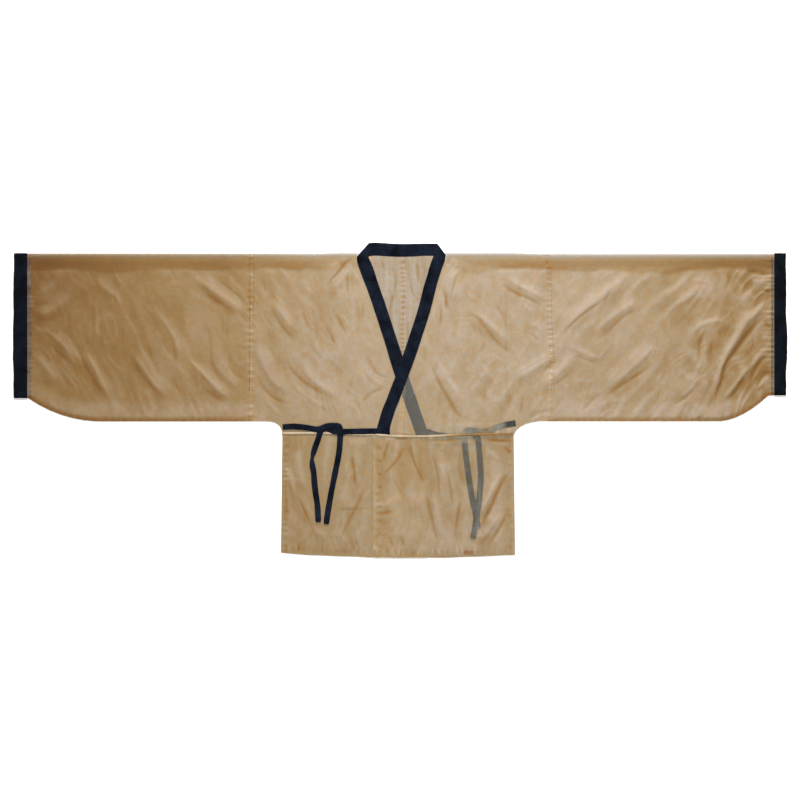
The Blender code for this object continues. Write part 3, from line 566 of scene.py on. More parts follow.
print("seams with puckers:", len(PUCKERS), "turned-in edges:", len(DOUBLED))

# %% The seams as one field
PUCKER_END = 2.5       # reaches from the seam at which a pucker is gone
# painted shade in the troughs of the puckers and painted highlight on their crests
PUCKER_SHADING = 0.6
THREAD_WIDTH, THREAD_DIP, THREAD_TONE = 2.8, 0.3, 0.2   # the dip where the thread holds the cloth
WAIST_CLOSENESS = 0.55  # the waist's cloth is a little closer
EDGE_TONE, INSIDE_TONE = 0.8, 0.62   # of the seams under the sleeves: dark edge, pale strip inside it


def seam_field(x, y):
    """Height of the puckers with their painted shading, and where the cloth is doubled."""
    rise, painted_shading, extra = (np.zeros(np.shape(x)) for _ in range(3))
    for number, (path, pitch, reach, height) in enumerate(PUCKERS):
        off, along = away_from(x, y, path)
        wander = 2.6 * waves_along(along, 2.2 * pitch, 60 + number)
        strength = 0.6 + 0.5 * waves_along(along, 1.4 * pitch, 90 + number)
        wave = np.cos(2 * math.pi * along / pitch + wander) * strength
        part = np.where(off < PUCKER_END * reach, bell(off, reach), 0.0)
        line = bell(off, THREAD_WIDTH)
        rise += height * part * wave - THREAD_DIP * line
        painted_shading += THREAD_TONE * line - PUCKER_SHADING * height * part * wave
    for path, reach in DOUBLED:
        off, _ = away_from(x, y, path)
        extra = np.maximum(extra, 1 - smooth((off - reach) / 2.0))
    extra = np.maximum(extra, WAIST_CLOSENESS * smooth((WAIST_Y - y) / 10.0))
    low = np.minimum(*(away_from(x, y, path)[0] for path in LOWER_SEAMS))
    painted_shading += EDGE_TONE * (1 - smooth((low - 5.0) / 3.0))
    painted_shading -= INSIDE_TONE * smooth((low - 8.0) / 6.0) * (1 - smooth((low - 30.0) / 28.0))
    return rise, painted_shading, extra


print("doubling on the hem:", seam_field(np.array([0.0]), np.array([hem_y(0.0) + 5.0]))[2])

# %% [markdown]
# ## How each layer lies
# From the surface up there are the back, the inner front, the inner collar end with its ties, and
# the outer front. A layer's own level keeps it clear of what is below it. On top of that come the
# folds, the creases and the puckers. They fade where the cloth is sewn down or held by another layer.

# %% Free edges
FREE_EDGES = [lower_edge(side) + underarm(side) for side in SIDES.values()]
FREE_EDGES += [[(s["side_x"], WAIST_Y), (s["hem_x"], hem_y(s["hem_x"]))] for s in SIDES.values()]
FREE_EDGES += [[(s["cuff_x"], s["cuff_low_y"]), (s["cuff_x"], SHOULDER_Y)] for s in SIDES.values()]
FREE_EDGES += [HEM_LINE]
FREE_EDGES += [[(row[1], row[0]) for row in table] for table in (INNER_COLLAR, OUTER_COLLAR)]
print("edges where the folds fade:", len(FREE_EDGES))

# %% Lines of the ties
TIE_SIDE_OUTER = (  # along the middle: x, y, and 1 where the tie lies on another
    (-288, -66, 0), (-262, -64.5, 0), (-235, -66.5, 0), (-218, -69.5, 0),
    (-206.5, -71.5, 1), (-196, -70.5, 1), (-186, -66, 1), (-176, -63, 1),
    (-166, -62.5, 1), (-155, -62.5, 1), (-149.3, -64.8, 0.6), (-147, -70.5, 0),
    (-146.6, -80, 0), (-147, -95, 0), (-148.5, -117, 0), (-151.9, -141.6, 0),
    (-158.8, -176, 0), (-167.7, -220.4, 0), (-173.8, -254.8, 0), (-179, -286.7, 0),
    (-180.8, -304, 0),
)
TIE_COLLAR_OUTER = (
    (-58.4, -76, 0), (-90, -76.5, 0), (-127, -77.2, 0), (-139, -77.4, 1),
    (-147, -77.5, 1), (-154.8, -77.5, 1), (-162.5, -77, 0), (-171, -73, 0),
    (-179, -69.5, 0), (-187, -70, 0), (-193.5, -75, 0), (-197.5, -83, 0),
    (-201.5, -97, 0), (-208.9, -117.3, 0), (-215.5, -141.6, 0), (-215.3, -158.8, 0),
    (-212, -176, 0), (-209.9, -203.3, 0), (-207.5, -225, 0), (-203, -254.8, 0),
    (-201.3, -281, 0), (-200.3, -299, 0),
)
TIE_SIDE_INNER = (
    (284, -56.5, 0), (270, -58.5, 0), (258, -60.5, 0), (245.5, -64, 0), (234, -68, 0),
    (223, -72.5, 0), (212, -76, 0), (201, -77, 1), (188, -75.5, 1), (177, -74, 1),
    (166.6, -74, 1), (160.9, -76.3, 0.6), (158.6, -82, 0), (158.8, -98, 0),
    (161.8, -136.2, 0), (167.7, -180.2, 0), (172, -210, 0), (174.6, -226, 0),
    (177.2, -241, 1), (183.5, -268, 1), (188, -290, 1), (191.5, -311, 1),
)
TIE_COLLAR_INNER = (
    (70.4, -78, 0), (86, -84, 0), (113, -88.5, 0), (139, -89.3, 0),
    (150.5, -89.3, 1), (158.6, -89.2, 1), (166.3, -89, 1), (173.8, -88, 0),
    (181, -86.5, 0), (187.5, -88.5, 0), (191.5, -95, 0), (193, -106, 0),
    (195.2, -136.2, 0), (198.3, -180.2, 0), (197, -213, 0), (194, -245, 0),
    (188, -289.2, 0), (183, -318.6, 0), (179.2, -338.3, 0),
)
INNER_KNOT = ((150.0, -80.0), (200.0, -80.0))
INNER_TAILS = ((177.0, -241.0), (191.0, -311.0))


def middle(tie):
    return [(x, y) for x, y, _ in tie]


INNER_TIES = (middle(TIE_SIDE_INNER), middle(TIE_COLLAR_INNER))
print("points along the ties:", [len(tie) for tie in (TIE_SIDE_OUTER, TIE_COLLAR_OUTER, *INNER_TIES)])

# %% Over the fold, and over what lies below
SHOULDER_FADE = 34.0
COVER_MARGIN, COVER_FALL = 12.0, 28.0
COVER = {"collar": BAND + GAP, "tie": TIE + GAP, "knot": 2 * (TIE + GAP)}


def roll(y, base, radius):
    """A front layer stands up a little where it comes over the shoulder fold."""
    fold_y = SHOULDER_Y - CLOTH / 2 - radius
    return (2 * radius - base) * (1 - smooth((fold_y - y) / SHOULDER_FADE))


def covered(x, y):
    """How far the outer front is lifted by the inner front, its collar end and its ties."""
    edge = np.where(y > WAIST_Y, read_across(INNER_COLLAR, 2, y), INNER_WAIST_EDGE)
    lift = COVER["collar"] * (1 - smooth((x - edge - COVER_MARGIN) / COVER_FALL))
    for paths, rise in ((INNER_TIES, COVER["tie"]), ((INNER_KNOT, INNER_TAILS), COVER["knot"])):
        away = np.minimum(*(away_from(x, y, path)[0] for path in paths))
        room = TIE_WIDTH / 2 + COVER_MARGIN
        lift = np.maximum(lift, rise * (1 - smooth((away - room) / COVER_FALL)))
    return lift


print("lift over the inner knot:", float(covered(175.0, -78.0)), "mm")

# %% The band along the shoulders
BAND_REACH = 38.0      # how far down the smooth band goes
# painted shade in the band and at its lower edge, painted highlight on its top edge
BAND_RISE, BAND_SHADE, BAND_EDGE_SHADE, TOP_HIGHLIGHT = 0.5, 0.42, 0.3, 0.7
NECK_MIDDLE, NECK_HALF, NECK_EASE = -10.0, 130.0, 70.0


def beyond_neck(x):
    """1 on the shoulders and sleeves, 0 beside the neck."""
    return smooth((np.abs(x - NECK_MIDDLE) - NECK_HALF) / NECK_EASE)


def band_share(x, y):
    """1 in the smooth band below the shoulder fold, which ends in an uneven line."""
    down = SHOULDER_Y - y
    reach = BAND_REACH + 6.0 * waves_along(x, 90.0, 31) + 3.0 * waves_along(x, 28.0, 33)
    away = 0.3 + 0.7 * beyond_neck(x)
    return down, reach, away * smooth((down - 6.0) / 18.0) * (1 - smooth((down - reach) / 10.0))


def shoulder_band(x, y):
    """The roll along the shoulder: a painted highlight on top, then a band of painted shade with a sharp
    lower end.
    """
    down, reach, share = band_share(x, y)
    edge = bell(down - reach, 6.0) * beyond_neck(x)
    strength = 0.6 + 0.6 * waves_along(x, 90.0, 32)
    top = 1 - smooth((down - 4.0) / 6.0)
    tone = (BAND_SHADE * share + BAND_EDGE_SHADE * edge) * strength - TOP_HIGHLIGHT * top
    return BAND_RISE * edge * strength, tone


print("band reaches down, mm:", band_share(np.array([-800.0, 800.0]), SHOULDER_Y)[1].round(1))

# %% Folds and creases together
EDGE_FADE, CREASE_FADE = 38.0, 15.0
COLLAR_SIDE = 109.0    # the collar covers the cloth nearer than this to the middle
CREASED = (  # x, how strongly the cloth is creased there
    (-915.0, 0.64), (-420.0, 0.62), (-300.0, 0.72), (-60.0, 0.85), (60.0, 1.0), (400.0, 1.0),
    (560.0, 0.8), (670.0, 0.9), (760.0, 1.6), (915.0, 1.85),
)


def relief(x, y, room):
    """Height of the folds, creases and crumples, and the painted shade and highlight that go with them.
    """
    down = SHOULDER_Y - y
    folds = fold_rise(x, y) * smooth(room / EDGE_FADE) * smooth(down / SHOULDER_FADE)
    crease, painted_shading = crease_field(x, y)
    near_neck = (1 - beyond_neck(x)) * smooth((np.abs(x) - COLLAR_SIDE) / 8.0)
    free = smooth((room + 2.0) / CREASE_FADE) * smooth((down - 30.0 + 22.0 * near_neck) / 20.0)
    crumples = crumple_field(x, y)
    soft = 0.8 * waves(x + 0.5 * y, y, (120.0, 150.0), 11)
    soft += 0.42 * waves(x + 0.6 * y, y - 0.3 * x, (46.0, 70.0), 12)
    small = 0.25 * waves(x + 0.4 * y, y - 0.4 * x, (15.0, 26.0), 13)
    below = smooth((WAIST_Y - y) / 10.0)
    pull = np.interp(x, *np.transpose(CREASED))
    pull = pull + (1 - pull) * below
    rise = folds + pull * free * (crease + soft + small + crumples)
    # painted shade in hollows and painted highlight on ridges, crumple crests and large folds
    tone = painted_shading * (1 + 0.5 * below) - 0.28 * soft - 1.1 * small - 0.5 * (crumples - 0.8)
    return rise, pull * free * tone - 0.06 * folds - 0.07 * below


sleeve = np.array([-600.0]), np.array([150.0])
print("rise and tone on a sleeve:", *(np.round(level, 2) for level in relief(*sleeve, np.array([99.0]))))

# %% Painted shade on the slopes
HELD_SHARE = 0.25      # what is left of the seams' puckers where cloth is held
# the window's place sets which slopes get painted shade
LIGHT_OVER = (200.0, 2200.0)  # where the window light stands, seen from above
SLOPE_STEP = 2.5
SLOPE_SHADE = 2.1


def drape(x, y, calm):
    """Rise, painted shading and doubling of a front layer. calm is 1 where it is free, 0 where it is
    held.

    Painted shade: the side of a crease that faces away from the window gets a deeper, more orange
    colour, from the slope towards the light.
    """
    room = np.minimum.reduce([away_from(x, y, path)[0] for path in FREE_EDGES])
    rise, tone = relief(x, y, room)
    away_x, away_y = LIGHT_OVER[0] - x, LIGHT_OVER[1] - y
    far = np.hypot(away_x, away_y) / SLOPE_STEP
    ahead = relief(x + away_x / far, y + away_y / far, room)[0]
    behind = relief(x - away_x / far, y - away_y / far, room)[0]
    slope = (ahead - behind) / (2 * SLOPE_STEP)
    band_rise, band_shading = shoulder_band(x, y)
    sewn, seam_shading, extra = seam_field(x, y)
    held = HELD_SHARE + (1 - HELD_SHARE) * calm
    tone = calm * np.tanh(tone + SLOPE_SHADE * slope) + band_shading + held * seam_shading
    return calm * (rise + band_rise) + held * sewn, tone, extra, room


print("the window stands", round(math.hypot(*LIGHT_OVER)), "mm from the middle, seen from above")

# %% How a front layer settles
LIFT = 0.9             # room under a front layer for its hollows
SINK = 0.2             # how far a hollow may go below a layer's own level


def settle(x, y, base, calm, past_seam):
    """Height of the middle of a front layer's cloth, and its masks.

    past_seam says how far a point lies under the cuff or collar it is sewn to, where it lies flat.
    """
    rise, tone, extra, room = drape(x, y, calm)
    up = (HELD_SHARE + (1 - HELD_SHARE) * calm) * LIFT * smooth(room / CREASE_FADE)
    shoulder = smooth((SHOULDER_Y - FOLD_RADIUS - y) / 6.0) * (1 - smooth((past_seam + 1.5) / 1.5))
    z = base + CLOTH / 2 + roll(y, FRONT_LEVEL, FOLD_RADIUS) + shoulder * (up + rise)
    return np.maximum(z, base - SINK), tone, extra


def sleeve_surface(x, y):
    past_seam = np.maximum(RIGHT["cuff_x"] - x, x - LEFT["cuff_x"])
    return settle(x, y, FRONT_LEVEL, np.ones(np.shape(x)), past_seam)


print("a sleeve's front, mm:", sleeve_surface(*sleeve)[0].round(2))

# %% The two fronts
TURNED_LAYERS = 2.2    # of seam allowance along the outer front's waist
TURNED_TONE = 0.08
FAR_FROM_SEAM = -99.0  # below the waist no collar is near


def turned_up(x, y):
    """Layers of seam cloth along the outer front's waist, which half hide the inner ties."""
    up = y - np.interp(x, *np.transpose(sorted(WAIST_SEAM_OUTER)))
    above = smooth(up / 2.0) * (1 - smooth((up - 24.0) / 10.0)) * smooth((x - 100.0) / 25.0)
    under = smooth(-up / 2.0) * (1 - smooth((-up - 18.0) / 5.0)) * smooth((x - 70.0) / 20.0)
    patchy = 0.75 + 0.35 * waves(x, y, (14.0, 9.0), 77)
    return TURNED_LAYERS * np.maximum(above * patchy, under * (1 - smooth((x - 176.0) / 6.0)))


def outer_surface(x, y):
    lift = covered(x, y)
    held = np.clip(lift / COVER["collar"], 0.0, 1.0) * smooth((y - WAIST_Y) / 10.0)
    past_seam = np.where(y > WAIST_Y, read_across(OUTER_COLLAR, 1, y) - x, FAR_FROM_SEAM)
    z, tone, extra = settle(x, y, FRONT_LEVEL + lift, 1 - 0.5 * held, past_seam)
    layers = turned_up(x, y)
    return z, tone + TURNED_TONE * layers, np.maximum(extra, layers)


def inner_surface(x, y):
    """The inner front lies calm under the outer front and under the outer ties."""
    edge = np.where(y > WAIST_Y, read_across(OUTER_COLLAR, 2, y) - 6.0, OUTER_WAIST_EDGE - 4.0)
    calm = smooth((edge - x) / 26.0)
    for tie in (TIE_SIDE_OUTER, TIE_COLLAR_OUTER):
        calm = np.minimum(calm, smooth((away_from(x, y, middle(tie))[0] - 9.0) / 26.0))
    past_seam = np.where(y > WAIST_Y, x - read_across(INNER_COLLAR, 1, y), FAR_FROM_SEAM)
    return settle(x, y, FRONT_LEVEL, calm, past_seam)


chest = np.array([200.0, -200.0]), np.array([100.0, 100.0])
print("outer front, mm:", outer_surface(*chest)[0][0].round(2),
      "inner front, mm:", inner_surface(*chest)[0][1].round(2))

# %% The back
BACK_Z = 0.45
# painted shade and painted highlight lines for the faint creases in the neck opening, which have no
# height
BACK_CREASE_SHADING = crease_lines((
    (0.5, 3.2, 20, 344, 25, 283, 44, 246),  # hollows: how deep, width, then the points
    (0.5, 3.2, -48, 347, -43, 332, -38, 318),
    (0.5, 3.4, -21, 323, -11, 308, -9, 290, -17, 268, -18, 246),
    (0.35, 3.2, 43, 332, 46, 313, 52, 292),
    (0.45, 4.0, -31, 208, -23, 232, -17, 255),
    (-0.5, 4.4, -36, 322, -31, 288, -38, 258),  # ridges
    (-0.5, 4.4, 33, 345, 36, 305, 50, 268),
    (-0.4, 4.6, 26, 262, 28, 232, 22, 196),
    (-0.4, 4.0, -12, 246, -14, 210, -8, 170),
), 8.0)
BACK_STITCH = 12.3     # between the puckers of the centre seam


def back_surface(x, y):
    """The back lies on the surface. Its faint creases in the neck opening are painted shade and
    highlight only.
    """
    soft = waves(x + 0.4 * y, y, (60.0, 90.0), 21) + 0.6 * waves(x, y, (24.0, 40.0), 22)
    seam = np.abs(x - CENTRE_X)
    wander = 3.2 * waves_along(y, 40.0, 23)
    pucker = np.cos(2 * math.pi * y / BACK_STITCH + wander) * bell(seam, 5.5)
    # painted shading of the puckers along the centre seam, and a darker seam line
    tone = -0.15 * soft - 0.6 * pucker + 0.3 * bell(seam, 3.5)
    for shade_depth, width, line in BACK_CREASE_SHADING:
        tone = tone + shade_depth * bell(away_from(x, y, line)[0], width)
    # painted highlight along the top of the fold
    tone = tone - 0.9 * (1 - smooth((SHOULDER_Y - y - 6.0) / 5.0))
    extra = 0.15 * (1 - smooth((seam - 6.0) / 2.0))
    for side in SIDES.values():
        extra = np.maximum(extra, 0.5 * (1 - smooth((np.abs(x - side["join_x"]) - 5.0) / 2.0)))
    return BACK_Z + 0.1 * soft + 0.12 * pucker, tone, extra


print("creases of the back:", len(BACK_CREASE_SHADING))

# %% [markdown]
# ## From a pattern to a mesh
# A pattern piece is an outline in the flat. It is filled with evenly spaced points, and a
# constrained Delaunay triangulation joins them without leaving the outline. Bisecting one face along
# grid lines would work as well, but it leaves slivers along curved edges.

# %% Points in an outline
ROW_SHARE = 0.866      # between rows of points, so that the triangles have equal sides
EDGE_SHARE = 0.4       # no point is nearer to the outline than this share of a step


def split_edges(ring, step_of):
    """Adds points along an outline, with a spacing that may change from place to place."""
    points = []
    for (x0, y0), (x1, y1) in zip(ring, ring[1:] + ring[:1]):
        count = max(1, math.ceil(math.hypot(x1 - x0, y1 - y0) / step_of((y0 + y1) / 2)))
        points += [(x0 + (x1 - x0) * k / count, y0 + (y1 - y0) * k / count) for k in range(count)]
    return np.array(points)


def inside(points, ring):
    x, y = points.T
    hit = np.zeros(len(points), dtype=bool)
    for (x0, y0), (x1, y1) in zip(ring, np.roll(ring, -1, axis=0)):
        if y0 != y1:
            hit ^= ((y0 > y) != (y1 > y)) & (x < (x1 - x0) * (y - y0) / (y1 - y0) + x0)
    return hit


def fill(ring, low_y, high_y, step, row_step=None):
    """Staggered rows of points inside an outline, a little away from it."""
    row_step = row_step or ROW_SHARE * step
    x0, x1 = min(p[0] for p in ring), max(p[0] for p in ring)
    rows = []
    for number, y in enumerate(np.arange(low_y, high_y, row_step)):
        x = np.arange(x0 + (number % 2) * step / 2, x1, step)
        rows.append(np.column_stack([x, np.full(len(x), y)]))
    points = np.concatenate(rows)
    points = points[inside(points, np.array(ring))]
    off, _ = away_from(points[:, 0], points[:, 1], ring + ring[:1])
    return points[off > EDGE_SHARE * min(step, row_step)]


square = [(0.0, 0.0), (10.0, 0.0), (10.0, 10.0), (0.0, 10.0)]
square_fill = fill(square, 1.0, 10.0, 2.0)
print("points inside a square of 10 mm:", len(square_fill))

# %% Triangles
def triangulate(ring, points):
    places = [Vector(p) for p in np.concatenate([ring, points])]
    loop = [(i, (i + 1) % len(ring)) for i in range(len(ring))]
    result = delaunay_2d_cdt(places, loop, [], 1, 1e-4)
    return np.array([tuple(v) for v in result[0]]), [tuple(face) for face in result[2]]


square_ring = split_edges(square, lambda y: 2.0)
print("triangles in the square:", len(triangulate(square_ring, square_fill)[1]))

# %% Laying a piece
def lay_piece(name, places, faces, masks, finish):
    """Makes the object, in metres, with its masks as attributes that the finish reads."""
    mesh = bpy.data.meshes.new(name)
    mesh.from_pydata((places * MM).tolist(), [], faces)
    for mask, values in masks.items():
        attribute_data = mesh.attributes.new(mask, "FLOAT", "POINT").data
        attribute_data.foreach_set("value", values.astype(np.float32))
    mesh.shade_smooth()
    mesh.materials.append(finish)
    piece = bpy.data.objects.new(name, mesh)
    bpy.context.scene.collection.objects.link(piece)
    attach(piece, "root")
    return piece


# %% [markdown]
# ## Masks for the finish
# The gauze gets painted shade towards the sleeves' ends: it is darker and browner where the light
# falls off. It is browner on the waist. Over navy it gets painted shade, and doubled cloth looks denser.
# Painted pictures could hold that. Here each piece carries it as attributes of its points, from the
# same fields as its height, so colour and shape agree.

# %% Where the cloth is browner, and painted shade towards the sleeves' ends
BROWN_WAIST, BROWN_MIDDLE = 0.44, 0.13   # added on the waist, and more in its middle
# painted shade in the band below the shoulder fold
BAND_BROWN_SHADE = 0.52      # added in the band below the shoulder fold
BROWN_MOST = 4.0
BROWN_AND_SHADE_ALONG_ARMS = (  # x, share
    (-915.0, 3.4), (-830.0, 3.0), (-700.0, 2.0), (-560.0, 1.4), (-440.0, 1.2), (-370.0, 0.9),
    (-240.0, 0.4), (-100.0, 0.15), (0.0, 0.08), (300.0, 0.1), (420.0, 0.3), (600.0, 0.45),
    (700.0, 0.65), (830.0, 1.1), (915.0, 1.4),
)


def browned_and_shaded(x, y):
    """Darker and browner towards the sleeves' ends, most at the right one, as painted shade; browner on
    the waist.
    """
    level = np.interp(x, *np.transpose(BROWN_AND_SHADE_ALONG_ARMS))
    level = level * (1 - 0.4 * np.clip((230.0 - y) / 260.0, 0, 1) * smooth((-640.0 - x) / 260.0))
    armpit = smooth((-x - 150.0) / 60.0) * (1 - smooth((-x - 330.0) / 60.0))
    level = level - 0.15 * armpit * (1 - smooth((y - 20.0) / 60.0)) * (y > WAIST_Y)
    middle_part = smooth((x + 75.0) / 20.0) * (1 - smooth((x - 110.0) / 60.0))
    level = level + (BROWN_WAIST + BROWN_MIDDLE * middle_part) * smooth((-70.0 - y) / 30.0)
    level = level * (1 + 0.12 * waves(x, y, (160.0, 160.0), 41))
    # painted shade in the band below the shoulder fold, deeper towards the sleeves' ends
    ends = 0.3 * smooth((-x - 380.0) / 200.0) + 0.9 * smooth((x - 640.0) / 150.0)
    share = band_share(x, y)[2] * (y < SHOULDER_Y)
    return np.clip(level + share * (BAND_BROWN_SHADE + ends), 0.0, BROWN_MOST)


arms = np.array([-900.0, -400.0, 0.0, 400.0, 900.0])
print("browned along the arms:", browned_and_shaded(arms, 200.0).round(2))

# %% Masks that the finish reads
PATCH_AT, PATCH_HALF = (168.0, -374.0), (11.0, 3.5)   # the brown patch inside the hem
NECK_LOW = 60.0        # the neck opening ends above this height
NAVY_EDGE = 2.0        # over which navy shows and ends below the gauze
MOST_LAYERS = 3        # of doubled cloth that are told apart
TIE_END_TONE = 2.0     # less doubling, so that the dark tie end shows


def gauze_masks(x, y, tone, extra, under):
    """under is 1 on cloth that another layer covers. bare is 1 on the back in the neck opening."""
    patch_x, patch_y = (1 - smooth((np.abs(way - at) - half) / 3.0)
                        for way, at, half in zip((x, y), PATCH_AT, PATCH_HALF))
    below_fold = smooth((SHOULDER_Y - y - 4.0) / 5.0)
    under = under * (below_fold + (1 - below_fold) * 0.6 * smooth((-x - 100.0) / 300.0))
    opening = np.minimum(x - read_across(INNER_COLLAR, 2, y), read_across(OUTER_COLLAR, 2, y) - x)
    # the back in the neck opening gets the cooler bare tint, which takes back the painted shade of cloth
    # under another layer
    bare = under * smooth((opening + 12.0) / 10.0) * (y > NECK_LOW)
    bare = np.maximum(bare, 0.15 * (1 - smooth((SHOULDER_Y - y - 6.0) / 5.0)))
    tie_away = np.minimum(*(away_from(x, y, tie)[0] for tie in INNER_TIES))
    tie_below = 1 - smooth((tie_away - TIE_WIDTH / 2) / NAVY_EDGE)
    band_in = np.minimum(x - read_across(INNER_COLLAR, 1, y), read_across(INNER_COLLAR, 2, y) - x)
    band_below = smooth(band_in / NAVY_EDGE + 0.5) * (y > WAIST_Y) * (y < NECK_LOW)
    # painted shade on gauze that lies over navy cloth
    navy_below_shade = np.maximum(tie_below, band_below) * (1 - under)
    # the end of the inner side tie comes out of the seam under the arm and shows dark
    tie_end = navy_below_shade * smooth((x - 252.0) / 14.0) * smooth((y + 75.0) / 8.0)
    navy_below_shade = np.maximum(navy_below_shade * (1 - 0.7 * np.clip(extra - 1, 0, 1)), tie_end)
    pressed = 0.9 * np.clip((-105.0 - y) / 140.0, 0, 1)
    extra = np.clip(extra * (1 - pressed * navy_below_shade), 0, MOST_LAYERS)
    extra = extra * (1 - tie_end) - TIE_END_TONE * tie_end
    return {"painted_shading": np.clip(tone, -1, 1), "navy_below_shade": navy_below_shade, "doubled": extra,
            "browned_and_shaded": browned_and_shaded(x, y), "patch": patch_x * patch_y, "under": under, "bare": bare}


spot, nothing = np.array([PATCH_AT]).T, np.zeros(1)
seen = gauze_masks(*spot, nothing, nothing, nothing)
print("masks at the brown patch:", {mask: round(float(level[0]), 2) for mask, level in seen.items()})

# %% What another layer covers
def covered_share(x, y, surface):
    """The back is covered everywhere, and the inner front where the outer front lies on it."""
    if surface is back_surface:
        return np.ones(np.shape(x))
    if surface is inner_surface:
        edge = np.where(y > WAIST_Y, read_across(OUTER_COLLAR, 2, y), OUTER_WAIST_EDGE)
        return smooth((x - edge + 3.0) / 6.0)
    return np.zeros(np.shape(x))


print("covered at the chest:", covered_share(*chest, inner_surface))

# %% [markdown]
# ## Flat and folded pieces
# A gore or a waist panel lies in one layer. A sleeve or a body half is one cloth folded at the
# shoulder, so it is cut opened out: its second coordinate runs along the cloth, below zero on the back
# layer. A flat mesh could be bent afterwards, but the fold needs closer points than the hidden back.

# %% Flat pieces
FINE, COARSE = 2.7, 15.0    # spacing of the points on the front and on the hidden back


def flat_piece(name, outline, surface, step, finish):
    """A piece that lies in one layer. outline runs anticlockwise as it lies."""
    ring = split_edges(outline, lambda y: step)
    low, high = ring.min(axis=0), ring.max(axis=0)
    places, faces = triangulate(ring, fill(outline, low[1] + step / 2, high[1], step))
    x, y = places.T
    z, tone, extra = surface(x, y)
    masks = gauze_masks(x, y, tone, extra, covered_share(x, y, surface))
    return lay_piece(name, np.column_stack([x, y, z]), faces, masks, finish)


print("points on a square metre of front: about", round(1 / (FINE * FINE * ROW_SHARE * MM * MM)))

# %% Corners where the fold starts and ends
def break_at(outline, places):
    """Adds a corner wherever an outline crosses the start or the end of the shoulder fold."""
    points = []
    for (x0, y0), (x1, y1) in zip(outline, outline[1:] + outline[:1]):
        cuts = [(y - y0) / (y1 - y0) for y in places if (y - y0) * (y - y1) < 0]
        points += [(x0 + (x1 - x0) * t, y0 + (y1 - y0) * t) for t in [0.0] + sorted(cuts)]
    return points


print("a square broken at two heights has", len(break_at(square, (4.0, 6.0))), "corners")

# %% Folded pieces
ROUND_STEP = 1.1       # spacing along an outline round the fold
FOLD_STEP = 7.0        # spacing along the fold
FOLD_ROWS = 8          # rows of points round the fold
# painted highlight on the top of the fold
FOLD_HIGHLIGHT = -0.4       # the top of the fold is pale
BACK_STEP = 2.8        # spacing on the back where it shows
BACK_CLEAR = 1.3       # those points keep this far from the outline
NECK_RISE = 2.2        # the shoulder fold stands a little higher beside the neck
NECK_DEPTH = 270.0     # how far down the back shows in the neck opening
NECK_SHOWN = ((-12.0, NECK_DEPTH), (12.0, NECK_DEPTH), (68.0, 2.0), (-68.0, 2.0))


def folded_piece(name, back, front, surface, finish):
    """A piece folded at the shoulder, with one surface for its front layer and one for its back."""
    arc = FOLD_RADIUS * math.pi / 2
    fold_y = SHOULDER_Y - CLOTH / 2 - FOLD_RADIUS
    outline = [(x, -(arc + fold_y - y)) for x, y in back] + [(x, arc + fold_y - y) for x, y in front]
    outline = break_at(outline, (-arc, arc))

    def step_of(way):
        return ROUND_STEP if abs(way) < arc else FINE if way > -NECK_DEPTH else COARSE

    ring = split_edges(outline, step_of)
    low, high = ring[:, 1].min(), ring[:, 1].max()
    opening = [(CENTRE_X + a, -arc - b) for a, b in NECK_SHOWN]
    centre = fill(opening, -NECK_DEPTH, -arc - 3.0, BACK_STEP)
    centre = centre[inside(centre, np.array(outline))]
    centre = centre[away_from(centre[:, 0], centre[:, 1], outline + outline[:1])[0] > BACK_CLEAR]
    inner = [fill(outline, arc + 2.0, high, FINE),
             fill(outline, -arc, arc + 0.1, FOLD_STEP, 2 * arc / FOLD_ROWS),
             fill(outline, low + 7.0, -arc - 5.0, COARSE), centre]
    places, faces = triangulate(ring, np.concatenate(inner))
    x, way = places.T
    turn = np.clip(way / FOLD_RADIUS, -math.pi / 2, math.pi / 2)
    y = np.where(np.abs(way) < arc, fold_y + FOLD_RADIUS * np.cos(turn), fold_y + arc - np.abs(way))
    front_z, tone, extra = surface(x, y)
    back_z, back_tone, back_extra = back_surface(x, y)
    round_z = FOLD_RADIUS + FOLD_RADIUS * np.sin(turn) + CLOTH / 2
    beside_neck = smooth((x + 210.0) / 60.0) * (1 - smooth((x - 250.0) / 110.0))
    y = y + NECK_RISE * beside_neck * smooth((y - 290.0) / 60.0)
    on_front, on_back = way >= arc, way <= -arc
    z = np.where(on_front, front_z, np.where(on_back, back_z, round_z))
    tone = np.where(on_front, tone, np.where(on_back, back_tone, FOLD_HIGHLIGHT))
    extra = np.where(on_front, extra, np.where(on_back, back_extra, 0.0))
    under = np.where(on_front, covered_share(x, y, surface), 1 - smooth(way / arc / 2 + 0.5))
    masks = gauze_masks(x, y, tone, extra, under)
    faces = [face[::-1] for face in faces]
    return lay_piece(name, np.column_stack([x, y, z]), faces, masks, finish)


print("cloth round the shoulder fold:", round(math.pi * FOLD_RADIUS, 2), "mm")

# %% [markdown]
# ## Finishes
# Two effects serve more than one finish, so each is a node group with named inputs and outputs.
# `woven_cloth` gives the height of a plain weave and the unevenness of its yarn. `gauze_tint` gives
# the gauze its colour, with painted highlight on ridges and painted shade in hollows.

# %% Nodes of one tree
def add(tree, kind, sockets=None, **settings):
    """Adds a node and gives its outputs. A socket is linked to another socket, and set to a value."""
    node = tree.nodes.new(kind)
    for key, value in settings.items():
        setattr(node, key, value)
    for key, value in (sockets or {}).items():
        if isinstance(value, bpy.types.NodeSocket):
            tree.links.new(value, node.inputs[key])
        else:
            node.inputs[key].default_value = value
    return node.outputs


def maths(tree, operation, a, b=0.0, clamp=False):
    return add(tree, "ShaderNodeMath", {0: a, 1: b}, operation=operation, use_clamp=clamp)[0]


